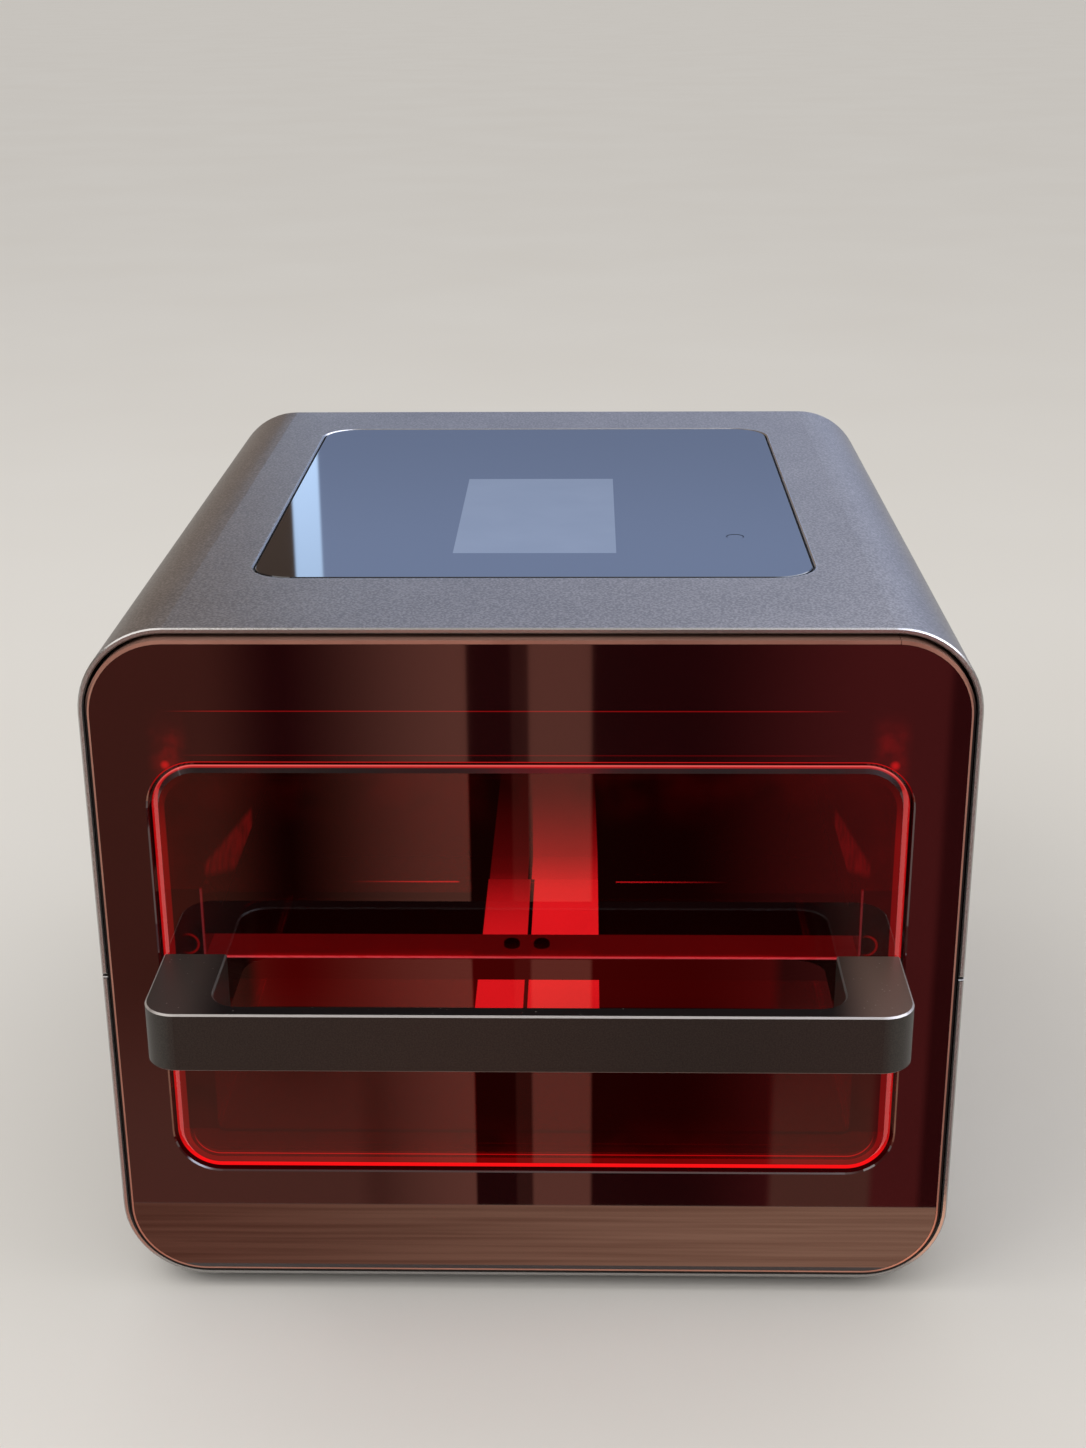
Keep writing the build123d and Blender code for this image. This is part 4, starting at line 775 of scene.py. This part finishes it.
def model_screw(head_radius, head_height, shank_radius, shank_length):
    """A button-head screw with a hexagon socket, its head up, its seat at the origin."""
    pick()
    bpy.ops.mesh.primitive_cylinder_add(
        vertices=SCREW_SIDES, radius=head_radius, depth=head_height, location=(0, 0, head_height / 2)
    )
    screw = bpy.context.object
    choose(screw, "EDGE", lambda e: all(v.co.z > 0 for v in e.verts))
    bpy.ops.mesh.bevel(offset=0.55 * head_height, segments=4, profile=0.5, affect="EDGES")
    pick()
    bpy.ops.mesh.primitive_cylinder_add(
        vertices=6, radius=SOCKET * head_radius, depth=head_height, location=(0, 0, 0.95 * head_height)
    )
    cut_away(screw, bpy.context.object)
    choose(screw, "FACE", lambda f: f.normal.z < -0.9 and f.calc_center_median().z < -0.49 * head_height)
    bpy.ops.mesh.inset(thickness=head_radius - shank_radius)
    bpy.ops.mesh.extrude_region_move(TRANSFORM_OT_translate={"value": (0, 0, -shank_length)})
    smooth(screw)
    return settle("screw_pattern", screw)


def screws_at(node, body, slot, axis, side):
    """Screws in place of each solid in a CAD node, all in one piece. Their heads look to that side of axis."""
    places = islands(node)
    low, high = places[0]
    head_radius = min(high[i] - low[i] for i in range(3) if i != axis) / 2
    head_height = head_radius * HEAD_HEIGHT
    length = high[axis] - low[axis] - head_height
    pattern = model_screw(head_radius, head_height, head_radius * SHANK, length)
    direction = Vector()
    direction[axis] = side
    turn = Vector((0, 0, 1)).rotation_difference(direction).to_matrix().to_4x4()
    copies = []
    for low, high in places:
        seat = (low + high) / 2
        seat[axis] = high[axis] - head_height if side > 0 else low[axis] + head_height
        copy = pattern.copy()
        copy.data = pattern.data.copy()
        bpy.context.scene.collection.objects.link(copy)
        copy.matrix_world = Matrix.Translation(seat) @ turn
        copies.append(copy)
    bpy.data.objects.remove(pattern)
    take_finish(settle(node + "_detailed", *copies), slot, body, node)


class CURING_OT_screws(bpy.types.Operator):
    """Button-head screws with hexagon sockets in place of the plain ones"""

    bl_idname = "curing.screws"
    bl_label = "Screws"

    def execute(self, context):
        for node, body in (("panel_screws", "housing"), ("fan_screws", "housing"), ("handle_screws", "drawer")):
            screws_at(node, body, "steel", 1, 1)
        screws_at("foot_screws", "housing", "steel", 2, -1)
        screws_at("bracket_screws", "drawer", "dark_screw", 2, 1)
        return {"FINISHED"}


class CURING_OT_feet(bpy.types.Operator):
    """Round rubber feet with a rounded tread and a recess for the screw"""

    bl_idname = "curing.feet"
    bl_label = "Feet"

    def execute(self, context):
        tread, recess_radius, recess_depth = 0.8 * MM, 4.8 * MM, 3.0 * MM
        feet = []
        for low, high in islands("rubber_feet"):
            radius = (high.x - low.x) / 2
            pick()
            bpy.ops.mesh.primitive_cylinder_add(
                vertices=64, radius=radius, depth=high.z - low.z, location=(low + high) / 2
            )
            foot = bpy.context.object
            choose(foot, "EDGE", lambda e: all(v.co.z < 0 for v in e.verts))
            bpy.ops.mesh.bevel(offset=tread, segments=4, profile=0.5, affect="EDGES")
            choose(foot, "FACE", lambda f: f.normal.z < -0.95 and len(f.verts) > 8)
            bpy.ops.mesh.inset(thickness=radius - tread - recess_radius)
            bpy.ops.mesh.extrude_region_move(TRANSFORM_OT_translate={"value": (0, 0, recess_depth)})
            smooth(foot)
            feet.append(foot)
        take_finish(settle("rubber_feet_detailed", *feet), "rubber", "housing", "rubber_feet")
        return {"FINISHED"}


def facet(node, wanted):
    """The middle and normal of the largest flat face group of a CAD node that wanted(normal) accepts."""
    groups = {}
    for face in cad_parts[node].data.polygons:
        if wanted(face.normal):
            key = tuple(round(c, 2) for c in face.normal)
            total, middle = groups.get(key, (0.0, Vector()))
            groups[key] = (total + face.area, middle + face.area * face.center)
    key, (total, middle) = max(groups.items(), key=lambda item: item[1][0])
    return middle / total, Vector(key).normalized()


class CURING_OT_rocker_marks(bpy.types.Operator):
    """Raised marks for on and off on the mains rocker"""

    bl_idname = "curing.rocker_marks"
    bl_label = "Rocker marks"

    def execute(self, context):
        rocker = "mains_switch_rocker"
        upper = facet(rocker, lambda n: n.y > 0.8 and n.z < -0.02)
        lower = facet(rocker, lambda n: n.y > 0.8 and n.z > 0.02)
        line_radius = 0.22 * MM
        pick()
        bpy.ops.mesh.primitive_torus_add(
            major_segments=40, minor_segments=8, major_radius=1.6 * MM, minor_radius=line_radius
        )
        ring = bpy.context.object
        bpy.ops.mesh.primitive_cylinder_add(vertices=16, radius=line_radius, depth=3.2 * MM,
                                            rotation=(math.pi / 2, 0, 0))
        bar = bpy.context.object
        choose(bar, "EDGE", lambda e: abs(e.verts[0].co.z - e.verts[1].co.z) < 1e-7)
        bpy.ops.mesh.bevel(offset=0.1 * MM, segments=2, affect="EDGES")
        settle("bar", bar)
        across = Vector((1, 0, 0))
        for mark, (middle, normal) in ((ring, lower), (bar, upper)):
            turn = Matrix((across, normal.cross(across), normal)).transposed().to_4x4()
            mark.matrix_world = Matrix.Translation(middle) @ turn
            smooth(mark, 60)
        take_finish(settle("rocker_marks", ring, bar), "white_plastic", "mains_rocker")
        return {"FINISHED"}


# ---------------------------------------------------------------- the stage
def dim_room():
    """A dim room, as gloss sees it from a card: a brown wall, a lit curtain and strip, and a red wall."""
    finish = Finish("dim_room_card", "ShaderNodeEmission")
    x, y, _ = finish.axes()
    # the bands fan out from one point, so that they look upright from the front
    fan = (x - FAN_X) / (FAN_Y - y)
    wall = fan.step(-0.208, -0.162, 0.36, 0.02)
    curtain = fan.step(-0.17, -0.055, 0.0, 0.95) * fan.step(-0.0645, -0.0625, 1.0, 0.0)
    post = fan.band(-0.039, -0.032, 0.0025) * 0.16
    strip = fan.band(-0.0295, 0.001, 0.003) * 0.87
    red_wall = fan.step(0.05, 0.16, 0.02, 0.46) * fan.step(0.188, 0.194, 1.0, 0.27)
    light = wall.over(curtain).over(post).over(strip).over(red_wall)
    # close to the unit two more patches are lit, one on either side
    patches = fan.step(-0.135, -0.115, 1.0, 0.0).over(fan.band(0.108, 0.16, 0.006))
    close = patches * y.step(-400, -240)
    brown, warm, red = (1.0, 0.30, 0.20, 1), (1.0, 0.36, 0.26, 1), (1.0, 0.14, 0.13, 1)
    colour = fan.step(0.01, 0.04).mix(fan.step(-0.20, -0.09).mix(brown, warm), red)
    finish.plug("Color", close.mix(colour, warm))
    finish.plug("Strength", light * (1.0 - close) + close * 0.55)
    return finish.material


def oak_worktop():
    """An oiled oak worktop, as gloss sees it from a card: warm wood with grain along its length."""
    finish = Finish("oak_card", "ShaderNodeEmission", Strength=1.0)
    fibres = finish.grain(2.4, (0.02, 1, 1), detail=5.0).step(0.3, 0.7)
    dim = fibres.mix((0.62, 0.24, 0.15, 1), (0.98, 0.40, 0.26, 1))
    lit = fibres.mix((1.45, 0.72, 0.47, 1), (2.10, 1.12, 0.76, 1))
    finish.plug("Color", finish.axes()[0].step(-170, 130).mix(dim, lit))
    return finish.material


def add_card(name, material, middle, width, depth):
    """A flat card that only glossy and transmitted rays see."""
    pick()
    bpy.ops.mesh.primitive_plane_add(size=1.0, location=middle)
    bpy.context.object.scale = (width, depth, 1.0)
    card = settle(name, bpy.context.object)
    card.data.materials.append(material)
    for kind in ("camera", "diffuse", "shadow", "volume_scatter"):
        setattr(card, "visible_" + kind, False)
    return card


def add_lamp(name, place, target, power, size):
    """A soft square lamp that the camera doesn't see."""
    pick()
    turn = (Vector(target) - Vector(place)).to_track_quat("-Z", "Y").to_euler()
    bpy.ops.object.light_add(type="AREA", location=place, rotation=turn)
    lamp = bpy.context.object
    lamp.name = name
    lamp.data.size = size
    lamp.data.energy = power
    lamp.visible_camera = False


def add_surroundings(scene, sky):
    """Even light on everything, a plain wall for the camera, and a room for gloss and clear glass."""
    world = bpy.data.worlds.new("even_sky")
    scene.world = world
    world.use_nodes = True
    tree = world.node_tree
    tree.nodes.clear()
    x, y, z = axes(tree, add_node(tree, "ShaderNodeTexCoord").outputs["Generated"])
    # gloss shows a blue window behind the unit with a pale frame, a brown wall on the left,
    # a dim room in front and a light ceiling above them all
    slant = x / y.over(0.001)
    wall = slant.step(-0.30, -0.16).mix((0.40, 0.31, 0.25, 1), (0.16, 0.11, 0.085, 1))
    window = z.step(0.20, 0.30).mix((0.33, 0.42, 0.67, 1), (0.57, 0.73, 1.17, 1))
    right = slant.step(1.0, 3.0).mix(window, (0.55, 0.52, 0.50, 1))
    ahead = slant.step(-0.139, -0.135).mix(wall, right)
    ahead = slant.band(-0.149, -0.137, 0.002).mix(ahead, (1.42, 1.94, 2.77, 1))
    around = y.step(-0.01, 0.01).mix((0.11, 0.075, 0.065, 1), ahead)
    bright = y.step(-0.05, 0.15).mix((1.0, 0.97, 0.95, 1), (2.1, 2.1, 2.2, 1))
    bright = x.step(0.05, 0.5).mix(bright, (5.2, 5.6, 6.8, 1))
    ceiling = x.step(-0.38, 0.22).mix((0.27, 0.20, 0.16, 1), bright)
    # in front the ceiling only starts high up
    level = z - y.step(-0.7, -0.55, 0.3, 0.0)
    room = level.step(0.32, 0.55).mix(around, ceiling)
    seen, mirrored, even = (
        add_node(tree, "ShaderNodeBackground", {"Color": colour, "Strength": strength}).outputs[0]
        for colour, strength in (((0.57, 0.545, 0.51, 1), 1.0), (room, 1.0), (WHITE, sky))
    )
    gloss = ray(tree, "Glossy").over(ray(tree, "Transmission"))
    inner = add_node(tree, "ShaderNodeMixShader", {0: gloss, 1: even, 2: mirrored})
    outer = add_node(tree, "ShaderNodeMixShader", {0: ray(tree, "Camera"), 1: inner.outputs[0], 2: seen})
    add_node(tree, "ShaderNodeOutputWorld", {"Surface": outer.outputs[0]})


def add_camera(scene, stage):
    """The camera, turned from its pitch, yaw and roll."""
    pitch, yaw, roll = stage.camera_pitch, stage.camera_yaw, stage.camera_roll
    ahead = Vector((math.sin(yaw) * math.cos(pitch), math.cos(yaw) * math.cos(pitch), -math.sin(pitch)))
    right = Vector((math.cos(yaw), -math.sin(yaw), 0))
    up = right.cross(ahead)
    tilted_right = math.cos(roll) * right + math.sin(roll) * up
    tilted_up = -math.sin(roll) * right + math.cos(roll) * up
    turn = Matrix((tilted_right, tilted_up, -ahead)).transposed()
    pick()
    bpy.ops.object.camera_add(location=stage.camera_place, rotation=turn.to_euler())
    camera = bpy.context.object
    camera.name = "camera"
    camera.data.sensor_fit = "AUTO"
    camera.data.sensor_width = 36.0
    camera.data.lens = stage.focal_pixels / max(RENDER_WIDTH, RENDER_HEIGHT) * camera.data.sensor_width
    camera.data.clip_end = 200.0
    scene.camera = camera


class CURING_OT_stage(bpy.types.Operator):
    """Pale floor, soft lamps, even sky and the camera"""

    bl_idname = "curing.stage"
    bl_label = "Stage"

    def execute(self, context):
        scene = context.scene
        stage = scene.curing_stage
        pick()
        bpy.ops.mesh.primitive_plane_add(size=60.0, location=(0, 0, 0))
        floor = bpy.context.object
        floor.name = "pale_floor"
        # matt wall paint: even, with the faintest mottling and no shine
        floor.data.materials.append(
            plain_finish("matt_floor_paint", ("#d9d4cd", "#dedad4"), (0.9, 1.0), 300.0, Specular_IOR_Level=0.0)
        )
        card = add_card("dim_card", dim_room(), (0, -1.7, 0.5 * MM), 2.2, 2.998)
        # the card fans out as its bands do, so that the housing's sides hardly see it
        for corner in card.data.vertices:
            reach = FAN_Y * MM - corner.co.y
            corner.co.x = FAN_X * MM + (FAN_RIGHT if corner.co.x > 0 else FAN_LEFT) * reach
        worktop = add_card("worktop_card", oak_worktop(), (0, -0.1815, 0.4 * MM), 0.34, 0.039)
        add_lamp("key_lamp", (-1.1, -0.7, 1.6), (0, 0, 0.15), stage.key_power, 1.4)
        add_lamp("fill_lamp", (1.5, -0.4, 1.1), (0, 0, 0.12), stage.fill_power, 1.2)
        add_surroundings(scene, stage.sky)
        add_camera(scene, stage)
        scene.view_settings.view_transform = "Standard"
        return {"FINISHED"}


OPERATORS = (
    CURING_OT_finishes,
    CURING_OT_housing,
    CURING_OT_control_panel,
    CURING_OT_drawer_front,
    CURING_OT_chamber,
    CURING_OT_rear_fittings,
    CURING_OT_screws,
    CURING_OT_feet,
    CURING_OT_rocker_marks,
    CURING_OT_stage,
)


class CURING_PT_panel(bpy.types.Panel):
    """Lists every step of the curing unit"""

    bl_idname = "CURING_PT_panel"
    bl_label = "Curing unit"
    bl_space_type = "VIEW_3D"
    bl_region_type = "UI"
    bl_category = "Curing unit"

    def draw(self, context):
        for group in (context.scene.curing_colours, context.scene.curing_stage):
            for name in group.bl_rna.properties.keys():
                if name not in ("rna_type", "name"):
                    self.layout.prop(group, name)
        for operator in OPERATORS:
            self.layout.operator(operator.bl_idname)


CLASSES = (CuringUnitColours, CuringUnitStage) + OPERATORS + (CURING_PT_panel,)


def register():
    """Adds the classes and their settings to Blender."""
    for cls in CLASSES:
        bpy.utils.register_class(cls)
    bpy.types.Scene.curing_colours = PointerProperty(type=CuringUnitColours)
    bpy.types.Scene.curing_stage = PointerProperty(type=CuringUnitStage)


def unregister():
    """Takes them away again."""
    del bpy.types.Scene.curing_stage
    del bpy.types.Scene.curing_colours
    for cls in reversed(CLASSES):
        bpy.utils.unregister_class(cls)


def main():
    """Builds the whole look, step by step."""
    register()
    for operator in OPERATORS:
        group, name = operator.bl_idname.split(".")
        getattr(getattr(bpy.ops, group), name)()


if __name__ == "__main__":
    main()
